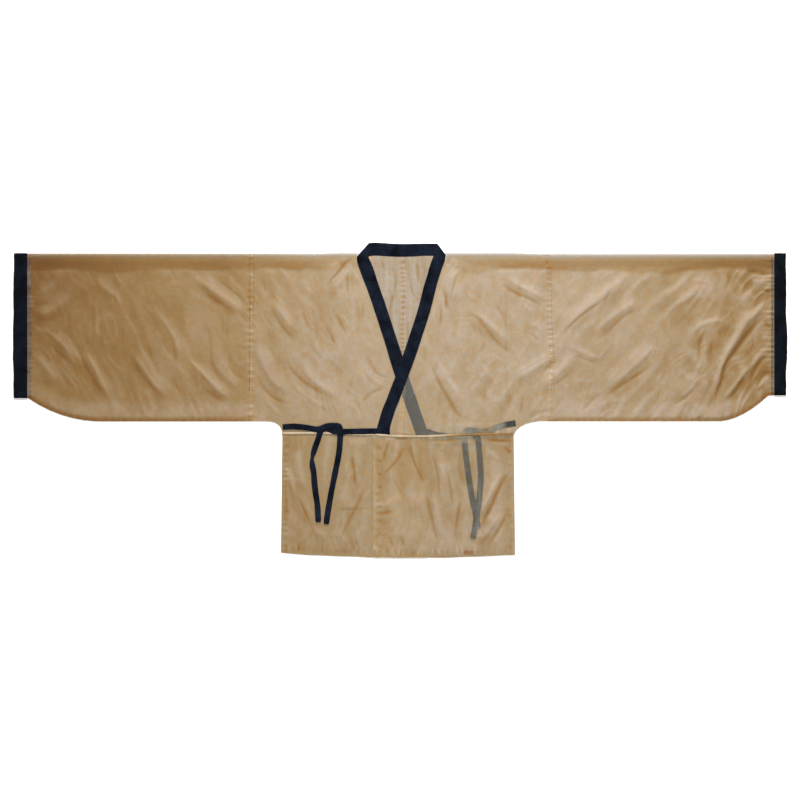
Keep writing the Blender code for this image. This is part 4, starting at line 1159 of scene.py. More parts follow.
def blend(tree, factor, a, b, mode="MIX"):
    """Mixes two colours. In a Mix node set to colour, they are the sockets 6 and 7."""
    return add(tree, "ShaderNodeMix", {0: factor, 6: a, 7: b},
               data_type="RGBA", blend_type=mode, clamp_factor=True)[2]


def toned(tree, colour, tone):
    """A colour made lighter or darker: a tone of 1 leaves it as it is."""
    grey = add(tree, "ShaderNodeCombineColor", {0: tone, 1: tone, 2: tone})[0]
    return blend(tree, 1.0, colour, grey, "MULTIPLY")


def noise(tree, place, stretch, detail):
    """Soft noise from 0 to 1. stretch is how many hills stand on a metre along x, y and z."""
    stretched = add(tree, "ShaderNodeVectorMath", {0: place, 1: stretch}, operation="MULTIPLY")[0]
    return add(tree, "ShaderNodeTexNoise", {"Vector": stretched, "Scale": 1.0, "Detail": detail})[0]


print("finishes before this step:", len(bpy.data.materials))

# %% A group with named sockets
def new_group(name, inputs, outputs):
    """A group with named sockets. None stands for a colour, a number for a value that starts there."""
    group = bpy.data.node_groups.new(name, "ShaderNodeTree")
    for direction, sockets in (("INPUT", inputs), ("OUTPUT", outputs)):
        for socket_name, start in sockets.items():
            kind = "NodeSocketColor" if start is None else "NodeSocketFloat"
            socket = group.interface.new_socket(socket_name, in_out=direction, socket_type=kind)
            if start is not None:
                socket.default_value = start
    return group, group.nodes.new("NodeGroupInput").outputs, group.nodes.new("NodeGroupOutput").inputs


print("groups before this step:", len(bpy.data.node_groups))

# %% The weave
DARKEST = 0.3          # of the tone that the yarn's unevenness gives
FLECK_SCALE, FLECK_FROM, FLECK_STEEP = 85.0, 0.42, 5.0
YARN = (  # hills on a metre, and the input that scales them
    ((45.0, 600.0, 1.0), "Slub"), ((600.0, 45.0, 1.0), "Slub"), ((24.0, 24.0, 1.0), "Mottle"),
    ((230.0, 230.0, 1.0), "Grain"),
)
weave, given, put = new_group(
    "woven_cloth", {"Threads": 2200.0, "Slub": 0.08, "Mottle": 0.1, "Grain": 0.1},
    {"Height": 0.0, "Tone": 1.0, "Fleck": 0.0})
place = add(weave, "ShaderNodeTexCoord")["Object"]
parts = add(weave, "ShaderNodeSeparateXYZ", {0: place})
turns = maths(weave, "MULTIPLY", given["Threads"], 2 * math.pi)
warp, weft = (maths(weave, "SINE", maths(weave, "MULTIPLY", parts[axis], turns)) for axis in (0, 1))
weave.links.new(maths(weave, "MULTIPLY", warp, weft), put["Height"])
total = 1.0
for stretch, amount in YARN:
    centred = maths(weave, "SUBTRACT", noise(weave, place, stretch, 3.0), 0.5)
    total = maths(weave, "ADD", maths(weave, "MULTIPLY", centred, given[amount]), total)
weave.links.new(maths(weave, "MAXIMUM", total, DARKEST), put["Tone"])
fleck = add(weave, "ShaderNodeTexNoise", {"Vector": place, "Scale": FLECK_SCALE, "Detail": 4.0})[0]
fleck = maths(weave, "SUBTRACT", fleck, FLECK_FROM)
weave.links.new(maths(weave, "MULTIPLY", fleck, FLECK_STEEP, clamp=True), put["Fleck"])
print("woven_cloth:", len(weave.nodes), "nodes")

# %% The tint of the gauze
# painted highlight colour on ridges and painted shade colour in hollows, from the shading mask
HIGHLIGHT_SHARE, SHADE_SHARE = -0.75, 1.1   # of the mask, for the pale and the deep colour
# the highlight colour takes less of the brown and its painted shade
PALE_BROWNED = 0.4     # the pale colour takes less of the brown
TINTS = (  # mask, and the colour that it multiplies with
    # the navy tint is painted shade on gauze over navy
    ("Doubled", (1.15, 1.12, 1.05, 1.0)), ("Navy Below Shade", (0.69, 0.78, 0.88, 1.0)),
    # the bare tint takes back the painted shade of covered cloth where the back lies uncovered
    ("Bare", (0.61, 0.75, 1.16, 1.0)), ("Patch", (0.7, 0.42, 0.3, 1.0)),
    ("Fleck", (1.03, 0.91, 0.76, 1.0)),
)
tint, given, put = new_group(
    "gauze_tint",
    {"Ground": None, "Highlight": None, "Shade": None, "Brown": None, "Painted Shading": 0.0, "Browned And Shaded": 0.0,
     "Patch": 0.0, "Tone": 1.0, "Fleck": 0.0, "Bare": 0.0, "Doubled": 0.0, "Navy Below Shade": 0.0},
    {"Color": None})
shade_depth = maths(tint, "MULTIPLY", given["Painted Shading"], SHADE_SHARE, clamp=True)
colour = blend(tint, shade_depth, given["Ground"], given["Shade"])
# brown and painted shade along the arms
for level in range(round(BROWN_MOST)):  # the brown is laid on once for each whole share
    share = maths(tint, "SUBTRACT", given["Browned And Shaded"], float(level), clamp=True)
    colour = blend(tint, share, colour, given["Brown"], "MULTIPLY")
share = maths(tint, "MULTIPLY", given["Browned And Shaded"], PALE_BROWNED, clamp=True)
pale = blend(tint, share, given["Highlight"], given["Brown"], "MULTIPLY")
ridge = maths(tint, "MULTIPLY", given["Painted Shading"], HIGHLIGHT_SHARE, clamp=True)
colour = blend(tint, ridge, colour, pale)
for mask, by in TINTS:
    colour = blend(tint, given[mask], colour, by, "MULTIPLY")
tint.links.new(toned(tint, colour, given["Tone"]), put["Color"])
print("gauze_tint:", len(tint.nodes), "nodes")

# %% [markdown]
# ## The gauze
# Thin cloth lets part of the light through. Alpha on the Principled BSDF does that with one sheet,
# and stacked layers build up as real ones do: the navy collar end below the outer front turns grey.
# The layer on the surface gets more alpha, since the pale surface shines through it far more in a
# render than it does for real cloth with its woven shadows. Cloth under another layer is deeper and
# more orange: painted shade for the light that reaches it through the gauze above. Doubled cloth is
# denser, and hollows and ridges get more alpha with their painted shade and highlight.
# The rolled waist seam has the cloth several times over, so its own finish is nearly opaque.

# %% Helpers for finishes
def attribute(tree, name):
    return add(tree, "ShaderNodeAttribute", attribute_name=name)["Fac"]


def placed(tree, group, sockets):
    return add(tree, "ShaderNodeGroup", sockets, node_tree=group)


def new_finish(name, roughness, specular):
    material = bpy.data.materials.new(name)
    material.use_nodes = True
    shader = material.node_tree.nodes["Principled BSDF"]
    shader.inputs["Roughness"].default_value = roughness
    shader.inputs["Specular IOR Level"].default_value = specular
    return material, material.node_tree, shader


def woven_relief(tree, shader, height, strength, distance):
    bump = add(tree, "ShaderNodeBump", {"Height": height, "Strength": strength, "Distance": distance})
    tree.links.new(bump[0], shader.inputs["Normal"])


print("groups that finishes share:", [group.name for group in (weave, tint)])

# %% Gauze
# pale is the painted highlight colour of ridges, deep the painted shade colour of hollows
GAUZE_FRONT = {"ground": (0.24, 0.225, 0.185, 1), "pale": (0.38, 0.343, 0.315, 1),
               "deep": (0.225, 0.118, 0.030, 1), "alpha": 0.36}
# cloth under another layer: its deeper, more orange colour is painted shade for the light that reaches
# it through the gauze above
GAUZE_UNDER_SHADED = {"ground": (0.375, 0.26, 0.13, 1), "pale": (0.42, 0.32, 0.19, 1),
              "deep": (0.26, 0.14, 0.045, 1), "alpha": 0.84}
# the colour that browns the gauze and paints the shade along the arms
BROWN_AND_SHADE = (0.80, 0.69, 0.48, 1)
DOUBLED_ALPHA, HIGHLIGHT_ALPHA, SHADE_ALPHA, BARE_ALPHA = 0.10, 0.14, 0.28, 0.08
STREAKS, STREAK_TONE = (110.0, 9.0, 1.0), 1.8   # of the back in the neck opening
THIN_SHEEN = {"roughness": 0.8, "specular": 0.15}

gauze, tree, shader = new_finish("gauze", **THIN_SHEEN)
woven = placed(tree, weave, {"Threads": 1800.0, "Slub": 0.26, "Mottle": 0.14, "Grain": 0.14})
masks = {name: attribute(tree, name) for name in
         ("painted_shading", "doubled", "browned_and_shaded", "patch", "under", "bare", "navy_below_shade")}
streaks = noise(tree, add(tree, "ShaderNodeTexCoord")["Object"], STREAKS, 2.0)
streaks = maths(tree, "MULTIPLY", maths(tree, "SUBTRACT", streaks, 0.5), masks["bare"])
painted_shading = maths(tree, "ADD", masks["painted_shading"], maths(tree, "MULTIPLY", streaks, STREAK_TONE))
shared = {"Brown": BROWN_AND_SHADE, "Painted Shading": painted_shading, "Browned And Shaded": masks["browned_and_shaded"],
          "Patch": masks["patch"], "Tone": woven["Tone"], "Fleck": woven["Fleck"],
          "Bare": masks["bare"], "Doubled": masks["doubled"], "Navy Below Shade": masks["navy_below_shade"]}
front, back = (
    placed(tree, tint, {"Ground": g["ground"], "Highlight": g["pale"], "Shade": g["deep"], **shared})["Color"]
    for g in (GAUZE_FRONT, GAUZE_UNDER_SHADED))
tree.links.new(blend(tree, masks["under"], front, back), shader.inputs["Base Color"])
alpha = GAUZE_FRONT["alpha"]
for mask, amount in (("under", GAUZE_UNDER_SHADED["alpha"] - GAUZE_FRONT["alpha"]),
                     ("doubled", DOUBLED_ALPHA), ("bare", BARE_ALPHA)):
    alpha = maths(tree, "ADD", maths(tree, "MULTIPLY", masks[mask], amount), alpha)
# more alpha with the painted highlight on ridges and the painted shade in hollows
for way, amount in ((-1.0, HIGHLIGHT_ALPHA), (1.0, SHADE_ALPHA)):
    level = maths(tree, "MULTIPLY", masks["painted_shading"], way, clamp=True)
    alpha = maths(tree, "ADD", maths(tree, "MULTIPLY", level, amount), alpha)
tree.links.new(maths(tree, "MINIMUM", alpha, 1.0), shader.inputs["Alpha"])
woven_relief(tree, shader, woven["Height"], strength=0.08, distance=0.0002)
print("gauze:", len(tree.nodes), "nodes")

# %% Rolled gauze
rolled, tree, shader = new_finish("gauze_rolled", **THIN_SHEEN)
woven = placed(tree, weave, {"Threads": 1800.0, "Slub": 0.3, "Mottle": 0.3})
colour = placed(tree, tint, {
    "Ground": (0.36, 0.28, 0.18, 1), "Highlight": (0.44, 0.36, 0.26, 1), "Shade": (0.26, 0.15, 0.06, 1),
    "Brown": BROWN_AND_SHADE, "Painted Shading": attribute(tree, "painted_shading"), "Browned And Shaded": attribute(tree, "browned_and_shaded"),
    "Tone": woven["Tone"]})["Color"]
tree.links.new(colour, shader.inputs["Base Color"])
shader.inputs["Alpha"].default_value = 0.9
woven_relief(tree, shader, woven["Height"], strength=0.3, distance=0.0002)
print("rolled gauze:", len(tree.nodes), "nodes")

# %% [markdown]
# ## The navy cloth and the threads
# The navy is a plain matt weave, almost black. A low specular level keeps the pale room off it. The
# cuffs are darker than the collar, and their cut edges look grey inside the sleeves. The sewing thread
# is cotton in five tones: tan, dark, rust and cream, and nearly white at the left cuff.

# %% Navy and threads
# the navy's strong mottle is partly painted shade: it stands in for the shading of small folds in the
# bands
NAVY_YARN = {"Threads": 1400.0, "Slub": 1.4, "Mottle": 3.8, "Grain": 1.2}
THREAD_YARN = {"Threads": 2500.0, "Slub": 0.4, "Mottle": 0.3}


NAVIES = (  # name, base colour
    ("navy", (0.0038, 0.0059, 0.0114)), ("navy_cuffs", (0.0020, 0.0029, 0.0052)),
    ("navy_frayed_right", (0.110, 0.110, 0.105)), ("navy_frayed_left", (0.035, 0.040, 0.050)),
)
THREADS = (
    ("tan_thread", (0.24, 0.11, 0.04)), ("dark_thread", (0.10, 0.055, 0.035)),
    ("rust_thread", (0.40, 0.18, 0.07)), ("pale_thread", (0.52, 0.50, 0.46)),
    ("cream_thread", (0.52, 0.35, 0.22)),
)


def plain_finish(name, base, yarn, roughness, specular, strength=0.0):
    material, tree, shader = new_finish(name, roughness, specular)
    woven = placed(tree, weave, yarn)
    tree.links.new(toned(tree, (*base, 1), woven["Tone"]), shader.inputs["Base Color"])
    if strength:
        woven_relief(tree, shader, woven["Height"], strength, distance=0.0003)
    return material


navy, navy_cuffs, frayed_right, frayed_left = (
    plain_finish(*row, NAVY_YARN, roughness=0.9, specular=0.05, strength=0.5) for row in NAVIES)
tan_thread, dark_thread, rust_thread, pale_thread, cream_thread = (
    plain_finish(*row, THREAD_YARN, roughness=0.7, specular=0.2) for row in THREADS)
print("finishes:", [name for name, _ in NAVIES + THREADS])

# %% [markdown]
# ## The sleeves
# Each sleeve is one wide piece of gauze, folded along its top and sewn underneath. Its end is caught
# 4 mm deep in the navy cuff, so no slit shows there. A tube would be simpler, but a real flat sleeve
# has two separate layers and a soft roll at the fold.

# %% Sleeves
CAUGHT = 4.0           # how far gauze runs into a navy band
for name, side in SIDES.items():
    out = math.copysign(1.0, side["cuff_x"])
    edge = [(side["cuff_x"] + out * CAUGHT, side["cuff_low_y"] + 1.5)]
    edge += lower_edge(side) + join_upwards(side)
    folded_piece("sleeve_%s_cloth" % name, edge, edge[::-1], sleeve_surface, gauze)
    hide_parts("sleeve_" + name)

# %% [markdown]
# ## The body
# Each half of the body is cut in one with its back and folded at the shoulder. The two backs meet in
# the centre back seam. The neck is cut out along the collar. The inner front ends below the collar of
# the outer front, and a narrow gore widens each front towards its collar end.

# %% Body halves
NECK_CLEAR = 0.6       # between the band and the body halves round the neck


def body_half(name, side, turn, neck_end, front_edge, surface):
    """Cuts a half in one with its back. front_edge runs down from the collar to the waist."""
    out = math.copysign(1.0, side["join_x"])
    neck_x = turn["sewn"][0] + out * NECK_CLEAR
    arm = [(side["join_x"], side["low_y"])] + underarm(side)
    corner = [(neck_x - out * turn["fill"][0], 357.5), (neck_x - out * turn["fill"][1], 361.3)]
    back = join_upwards(side)[::-1] + arm + [(CENTRE_X, WAIST_Y), (CENTRE_X, NECK_BACK[1][1] + CAUGHT)]
    back += [(neck_end[0], neck_end[1] + CAUGHT), (neck_x, turn["sewn"][1] - 2.5)] + corner
    front = corner[:1] + [(neck_x, 352.0), (neck_x, turn["below"][0][1])]
    front += front_edge + arm[::-1] + join_upwards(side)
    return folded_piece(name, back, front, surface, gauze)


edge = [(sewn + CAUGHT, y) for y, sewn, _ in INNER_COLLAR if sewn + CAUGHT < CENTRE_X]
edge += [(CENTRE_X, 0.0), (CENTRE_X, WAIST_Y)]
body_inner = body_half("body_inner_cloth", RIGHT, INNER_TURN, NECK_BACK[0], edge, inner_surface)
edge = [(sewn - CAUGHT, y) for y, sewn, _ in OUTER_COLLAR if y > OUTER_SEAM_TOP[1]]
edge += [(outer_seam_x(27.0), 27.0), (OUTER_SEAM_LOW_X, WAIST_Y)]
body_outer = body_half("body_outer_cloth", LEFT, OUTER_TURN, NECK_BACK[2], edge, outer_surface)
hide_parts("panel_inner")
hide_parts("panel_outer")
print("body:", len(body_inner.data.polygons), len(body_outer.data.polygons), "faces")

# %% Gores
top_y = -1.5
edge = [(float(read_across(INNER_COLLAR, 1, y)) + CAUGHT, y) for y in (WAIST_Y, -22.0, top_y)]
gore_inner = flat_piece("gore_inner_cloth", [(CENTRE_X, WAIST_Y)] + edge + [(CENTRE_X, top_y)],
                        inner_surface, FINE, gauze)
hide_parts("gore_inner")
top_y = 24.0
edge = [(float(read_across(OUTER_COLLAR, 1, y)) - CAUGHT, y) for y in (top_y, -22.0, -63.0, WAIST_Y)]
edge += [(outer_seam_x(y), y) for y in (WAIST_Y, top_y)]
gore_outer = flat_piece("gore_outer_cloth", edge, outer_surface, FINE, gauze)
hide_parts("gore_outer")
print("gores:", len(gore_inner.data.polygons), len(gore_outer.data.polygons), "faces")

# %% [markdown]
# ## The waist skirt
# Below the waist hang three straight panels: a back, an inner front and an outer front. The two
# fronts overlap in the middle. They have a turned-in hem, and so do the free front edges.

# %% Waist panels
def waist_panel(name, low_x, high_x, top, surface, step):
    """A panel between two places on the hem and the two places above them on the waist."""
    steps = max(4, round((high_x - low_x) / 24.0))
    hem = [low_x + (high_x - low_x) * k / steps for k in range(steps + 1)]
    edge = [(x, hem_y(x) + 0.8 * float(waves_along(x, 37.0, 51))) for x in hem]
    edge += [(x, WAIST_Y) for x in top[::-1]]
    piece = flat_piece(name + "_cloth", edge, surface, step, gauze)
    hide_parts(name)
    print(piece.name, len(piece.data.polygons), "faces")
    return piece


waist_back = waist_panel("waist_back", RIGHT["hem_x"], LEFT["hem_x"],
                         (RIGHT["side_x"], LEFT["side_x"]), back_surface, COARSE)
waist_inner = waist_panel("waist_inner", RIGHT["hem_x"], INNER_WAIST_EDGE,
                          (RIGHT["side_x"], INNER_WAIST_EDGE), inner_surface, FINE)
waist_outer = waist_panel("waist_outer", OUTER_WAIST_EDGE, LEFT["hem_x"],
                          (OUTER_WAIST_EDGE, LEFT["side_x"]), outer_surface, FINE)

# %% [markdown]
# ## Bands: collar, cuffs and ties
# A band is doubled cloth: a flat tube with soft edges. It is lofted through rows of two edge points,
# which lets one function make the collar, the cuffs, the ties and the rolled waist seam.

# %% Loft of a band
SECTION = ((0.0, 0.3), (0.03, 0.7), (0.12, 0.95), (0.35, 1.0),  # place across, share of the thickness
           (0.65, 1.0), (0.88, 0.95), (0.97, 0.7), (1.0, 0.3))


def band(name, rows, thickness, finish, masks=None):
    """rows has two points (x, y, z) for each step along the band, in millimetres."""
    rows = np.array(rows, dtype=float)
    start, across = rows[:, 0], rows[:, 1] - rows[:, 0]
    along = np.gradient(rows.mean(axis=1), axis=0)
    up = np.cross(along, across)
    up /= np.linalg.norm(up, axis=1)[:, None]
    if up[-1, 2] < 0:
        up = -up
    ring = [start + u * across + share * thickness / 2 * up for u, share in SECTION]
    ring += [start + u * across - share * thickness / 2 * up for u, share in SECTION[::-1]]
    count, around = len(rows), len(ring)
    places = np.stack(ring, axis=1).reshape(-1, 3)
    faces = []
    for i in range(count - 1):
        for j in range(around):
            k = (j + 1) % around
            faces.append((i * around + j, i * around + k, (i + 1) * around + k, (i + 1) * around + j))
    for first in (0, (count - 1) * around):
        for j in range(len(SECTION) - 1):
            faces.append((first + j, first + j + 1, first + around - 2 - j, first + around - 1 - j))
    values = {mask: np.repeat(np.broadcast_to(level, count), around)
              for mask, level in (masks or {}).items()}
    return lay_piece(name, places, faces, values, finish)


print("points round a band:", 2 * len(SECTION))

# %% [markdown]
# ## The collar
# On the real jacket it is one long navy band: up one front, over the shoulder, behind the neck, over
# the other shoulder and down the outer front. A curve with a bevel would be quicker to draw, but both
# edges of this band were measured, and it folds at the shoulders. So it is lofted from edge to edge.

# %% Fronts of the collar
COLLAR_STEP = 8.0
COLLAR_HIGH = 335.0    # above this the band lies level, ready for the turn
ABOVE_FRONT = 0.25     # between the band and the front that it lies on
BAND_WAVES, EDGE_WAVES = 0.25, 0.5   # up and down, and from side to side


def collar_side(table, turn, level):
    """Rows of one front of the collar, from the shoulder fold down to the waist."""
    knots = [[*turn["below"][0], *turn["below"][1]]]
    knots += [[sewn, y, free, y] for y, sewn, free in table]
    rows = []
    for sewn_x, sewn_y, free_x, free_y in curve_through(knots, COLLAR_STEP):
        x, y = np.array([sewn_x, free_x]), np.array([sewn_y, free_y])
        rise = BAND_WAVES * waves(x, y, (16.0, 30.0), 71)
        z = np.where(y > COLLAR_HIGH, NECK_LEVEL, level(x, y)) + BAND / 2 + rise + ABOVE_FRONT
        rows.append(list(zip(x + EDGE_WAVES * waves_along(y, 24.0, 72), y, z)))
    return rows


inner_rows = collar_side(INNER_COLLAR, INNER_TURN, lambda x, y: FRONT_LEVEL + 0 * x)
outer_rows = collar_side(OUTER_COLLAR, OUTER_TURN, lambda x, y: FRONT_LEVEL + covered(x, y))
print("rows of the two fronts:", len(inner_rows), len(outer_rows))

# %% Turns at the shoulders
UNDER_COLLAR = 0.02    # between the surface and the band behind the neck
HALF_TURN = np.linspace(-math.pi / 2, math.pi / 2, 9)


def collar_turn(turn):
    """Rows round the fold at a shoulder, from the front part over to the back part."""
    radius = BAND / 2 + GAP / 2
    (sewn_x, sewn_y), (free_x, free_y) = turn["sewn"], turn["free"]
    length = math.hypot(free_x - sewn_x, free_y - sewn_y)
    away = np.array([(sewn_y - free_y) / length, (free_x - sewn_x) / length])
    if away[0] * turn["out"] < 0:
        away = -away
    rows = []
    for angle in HALF_TURN[::-1]:
        shift = away * (radius * math.cos(angle) - radius - BAND / 2)
        z = BAND / 2 + UNDER_COLLAR + radius + radius * math.sin(angle)
        rows.append([(x + shift[0], y + shift[1], z) for x, y in (turn["sewn"], turn["free"])])
    return rows


inner_turn, outer_turn = collar_turn(INNER_TURN), collar_turn(OUTER_TURN)
print("height round the inner turn, mm:", [round(float(row[0][2]), 2) for row in inner_turn])

# %% The whole collar
BAND_CLOTH = 1.5       # thickness of the two layers of a band
knots = [[x, sewn_y, x, free_y] for x, sewn_y, free_y in NECK_BACK]
neck_z = BAND / 2 + UNDER_COLLAR
neck_rows = [[(a, b, neck_z), (c, d, neck_z)] for a, b, c, d in curve_through(knots, COLLAR_STEP)]
collar_rows = inner_rows[::-1] + inner_turn + neck_rows + outer_turn[::-1] + outer_rows
collar = band("collar_band", collar_rows, BAND_CLOTH, navy)
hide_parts("collar")
print("collar:", len(collar_rows), "rows")

# %% [markdown]
# ## The cuffs
# A cuff is a doubled navy strip round the sleeve's end, folded with the sleeve at the top. A box
# would look stiff. These rows run up the back, round the fold and down the front, and the free edge
# wobbles and bulges a little, as it does on cloth that has been handled.

# %% Cuffs
CUFF_BULGE = {"right": (150.0, 1.6, 130.0), "left": (145.0, 2.6, 50.0)}  # middle y, rise, reach
CUFF_STEP = 6.0
CUFF_EDGE = HALF_SPAN - 2.2   # the free edge, before it bulges and wobbles
CUFF_CLEAR = 0.15      # between the band and the line where the sleeve ends
CALM_HIGH, CALM_LOW, CALM = 350.0, 8.0, 0.3   # the edge wobbles less at the fold and the low corner
for name, side in SIDES.items():
    out = math.copysign(1.0, side["cuff_x"])
    fold_y = SHOULDER_Y - CLOTH / 2 - CUFF_FOLD_RADIUS
    low = side["cuff_low_y"]
    heights = np.arange(low, fold_y, CUFF_STEP)
    ways = [(y, "back") for y in heights] + [(angle, "turn") for angle in HALF_TURN]
    ways += [(y, "front") for y in heights[::-1]]
    rows = []
    for value, layer in ways:
        if layer == "turn":
            y = fold_y + CUFF_FOLD_RADIUS * math.cos(value)
            z = BAND / 2 + CUFF_FOLD_RADIUS + CUFF_FOLD_RADIUS * math.sin(value)
        else:
            y = value
            lift = roll(y, NECK_LEVEL, CUFF_FOLD_RADIUS) if layer == "front" else 0.0
            z = BAND / 2 + (NECK_LEVEL + float(lift) if layer == "front" else 0.0)
        wobble = 1.1 * float(waves_along(y, 34.0, 75)) + 0.5 * float(waves_along(y, 13.0, 76))
        place, rise, reach = CUFF_BULGE[name]
        bulge = rise * bell(y - place, reach)
        ease = 1.0 if low + CALM_LOW < y < CALM_HIGH else CALM
        rows.append([(side["cuff_x"] + out * CUFF_CLEAR, y, z),
                     (out * (CUFF_EDGE + ease * (wobble + bulge)), y, z)])
    band("cuff_%s_band" % name, rows, BAND_CLOTH, navy_cuffs)
    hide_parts("cuff_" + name)
    print(name, "cuff:", len(rows), "rows")

# %% [markdown]
# ## The ties
# A tie is a narrow doubled strip. Each pair crosses twice in a half knot, and the ends hang down. The
# outer pair lies on the inner front. The inner pair lies below the outer front and shows through it.

# %% A tie along its middle
TIE_STEP = 4.0
TIE_CLOTH = 0.95
PINCH, PINCH_REACH = 0.42, 11.0      # how much narrower a twisted tie looks, and over what length
END_SHARE, END_LENGTH = 0.8, 25.0    # a tie narrows to this share of its width at the end


def sideways(line):
    """Points one millimetre to the left of each point of a line, seen from that point."""
    ahead = np.gradient(line, axis=0)
    ahead /= np.linalg.norm(ahead, axis=1)[:, None]
    return np.column_stack([-ahead[:, 1], ahead[:, 0]])


def ribbon(name, path, base, root=None, pinch=None):
    """A flat tie along its middle. pinch is a place (x, y) where it is twisted and looks narrow."""
    line = curve_through(path, TIE_STEP)
    side = sideways(line[:, :2])
    x, y, layer = line.T
    half = TIE_WIDTH / 2 * (1 + 0.05 * waves(x, y, (18.0, 18.0), 81))
    if pinch:
        half = half * (1 - PINCH * bell(np.hypot(x - pinch[0], y - pinch[1]), PINCH_REACH))
    from_end = np.arange(len(line))[::-1] * TIE_STEP
    half = half * np.clip(END_SHARE + from_end / END_LENGTH, END_SHARE, 1.0)
    layer = smooth(layer) * (TIE + GAP)
    z = base + layer + TIE / 2 + 0.15 * waves(x, y, (22.0, 22.0), 82)
    rows = np.stack([np.column_stack([line[:, :2] + way * side * half[:, None], z])
                     for way in (1, -1)], axis=1)
    if root is not None:
        rows[0, :, :2] = root
    length = float(np.hypot(*np.diff(line[:, :2], axis=0).T).sum()) * MM
    piece = band(name, rows, TIE_CLOTH, navy)
    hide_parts(name.replace("_ribbon", ""))
    return piece, length


print("a tie's cloth:", TIE_CLOTH, "mm of the solid's", TIE)

# %% The four ties
ON_FRONT = FRONT_LEVEL + CLOTH + GAP   # where the outer ties lie
outer_root = [(float(read_across(OUTER_COLLAR, 2, y)) + 2.0, y) for y in (-83.5, -69.0)]
inner_root = [(float(read_across(INNER_COLLAR, 2, y)) - 2.0, y) for y in (-69.0, -84.0)]
ties = [
    ribbon("tie_collar_outer_ribbon", TIE_COLLAR_OUTER, ON_FRONT, outer_root, pinch=(-216.0, -142.0)),
    ribbon("tie_side_outer_ribbon", TIE_SIDE_OUTER, ON_FRONT),
    ribbon("tie_collar_inner_ribbon", TIE_COLLAR_INNER, FRONT_LEVEL, inner_root),
    ribbon("tie_side_inner_ribbon", TIE_SIDE_INNER, FRONT_LEVEL),
]
for piece, length in ties:
    print(piece.name, round(length, 3), "m long")

# %% [markdown]
# ## Rolled seams and seam allowances
# The waist seam is turned down and stands up as a thin rolled line. Inside each sleeve end the cut
# edge of the navy cuff shows through the gauze as a greyish strip.

# %% Waist seam
ROLL_HALF, ROLL_THICK, ROLL_LIFT = 2.3, 1.3, 0.5


def along_seam(path, surface):
    """Rows of a rolled seam that lies on a surface."""
    line = curve_through(path, 6.0)
    x, y = line.T
    z = surface(x, y)[0] + ROLL_LIFT
    shift = sideways(line) * (1 + 0.3 * waves(x, y, (21.0, 21.0), 85))[:, None] * ROLL_HALF
    return np.stack([np.column_stack([line + way * shift, z]) for way in (1, -1)], axis=1)


for name, path, surface in (("waist_seam_inner", WAIST_SEAM_INNER, inner_surface),
                            ("waist_seam_outer", WAIST_SEAM_OUTER, outer_surface)):
    rows = along_seam(path, surface)
    dense = -0.3 + 1.1 * smooth((rows[:, 0, 0] - 60.0) / 120.0)   # paler towards the middle
    band(name, rows, ROLL_THICK, rolled,
                            {"painted_shading": dense, "browned_and_shaded": 1.5 * dense})

# %% Allowances beside the cuffs
ALLOWANCE_Z = 1.25     # in the sleeve's end, between its front and its back
ALLOWANCE_THICK = 0.4
for name, width, finish in (("right", 9.5, frayed_right), ("left", 7.0, frayed_left)):
    cuff_x, low = SIDES[name]["cuff_x"], SIDES[name]["cuff_low_y"]
    out = math.copysign(1.0, cuff_x)
    y = np.arange(low + 3.0, SHOULDER_Y - 8.0, 5.0)
    z = np.full(len(y), ALLOWANCE_Z)
    frayed_x = cuff_x - out * (width + 0.9 * waves_along(y, 9.0, 86))
    sewn_x = np.full(len(y), cuff_x + out * CAUGHT)
    rows = np.stack([np.column_stack([x, y, z]) for x in (frayed_x, sewn_x)], axis=1)
    band("cuff_%s_allowance" % name, rows, ALLOWANCE_THICK, finish)
    print(name, "allowance:", len(rows), "rows")

# %% [markdown]
# ## Stitches
# A line of small thread bars marks each seam. They are geometry, because they are the finest thing
# that still shows, and each one lies on the height of the cloth below it. All stitches of one seam
# are one piece.

# %% A line of stitches
THREAD_RISE = 0.45
THREAD_ABOVE = 0.12    # between the cloth and the foot of a stitch
UNEVEN = 0.12          # how far a stitch strays along its seam, in shares of the pitch
LENGTHS = (0.75, 1.15)  # shortest and longest stitch, in shares of the length


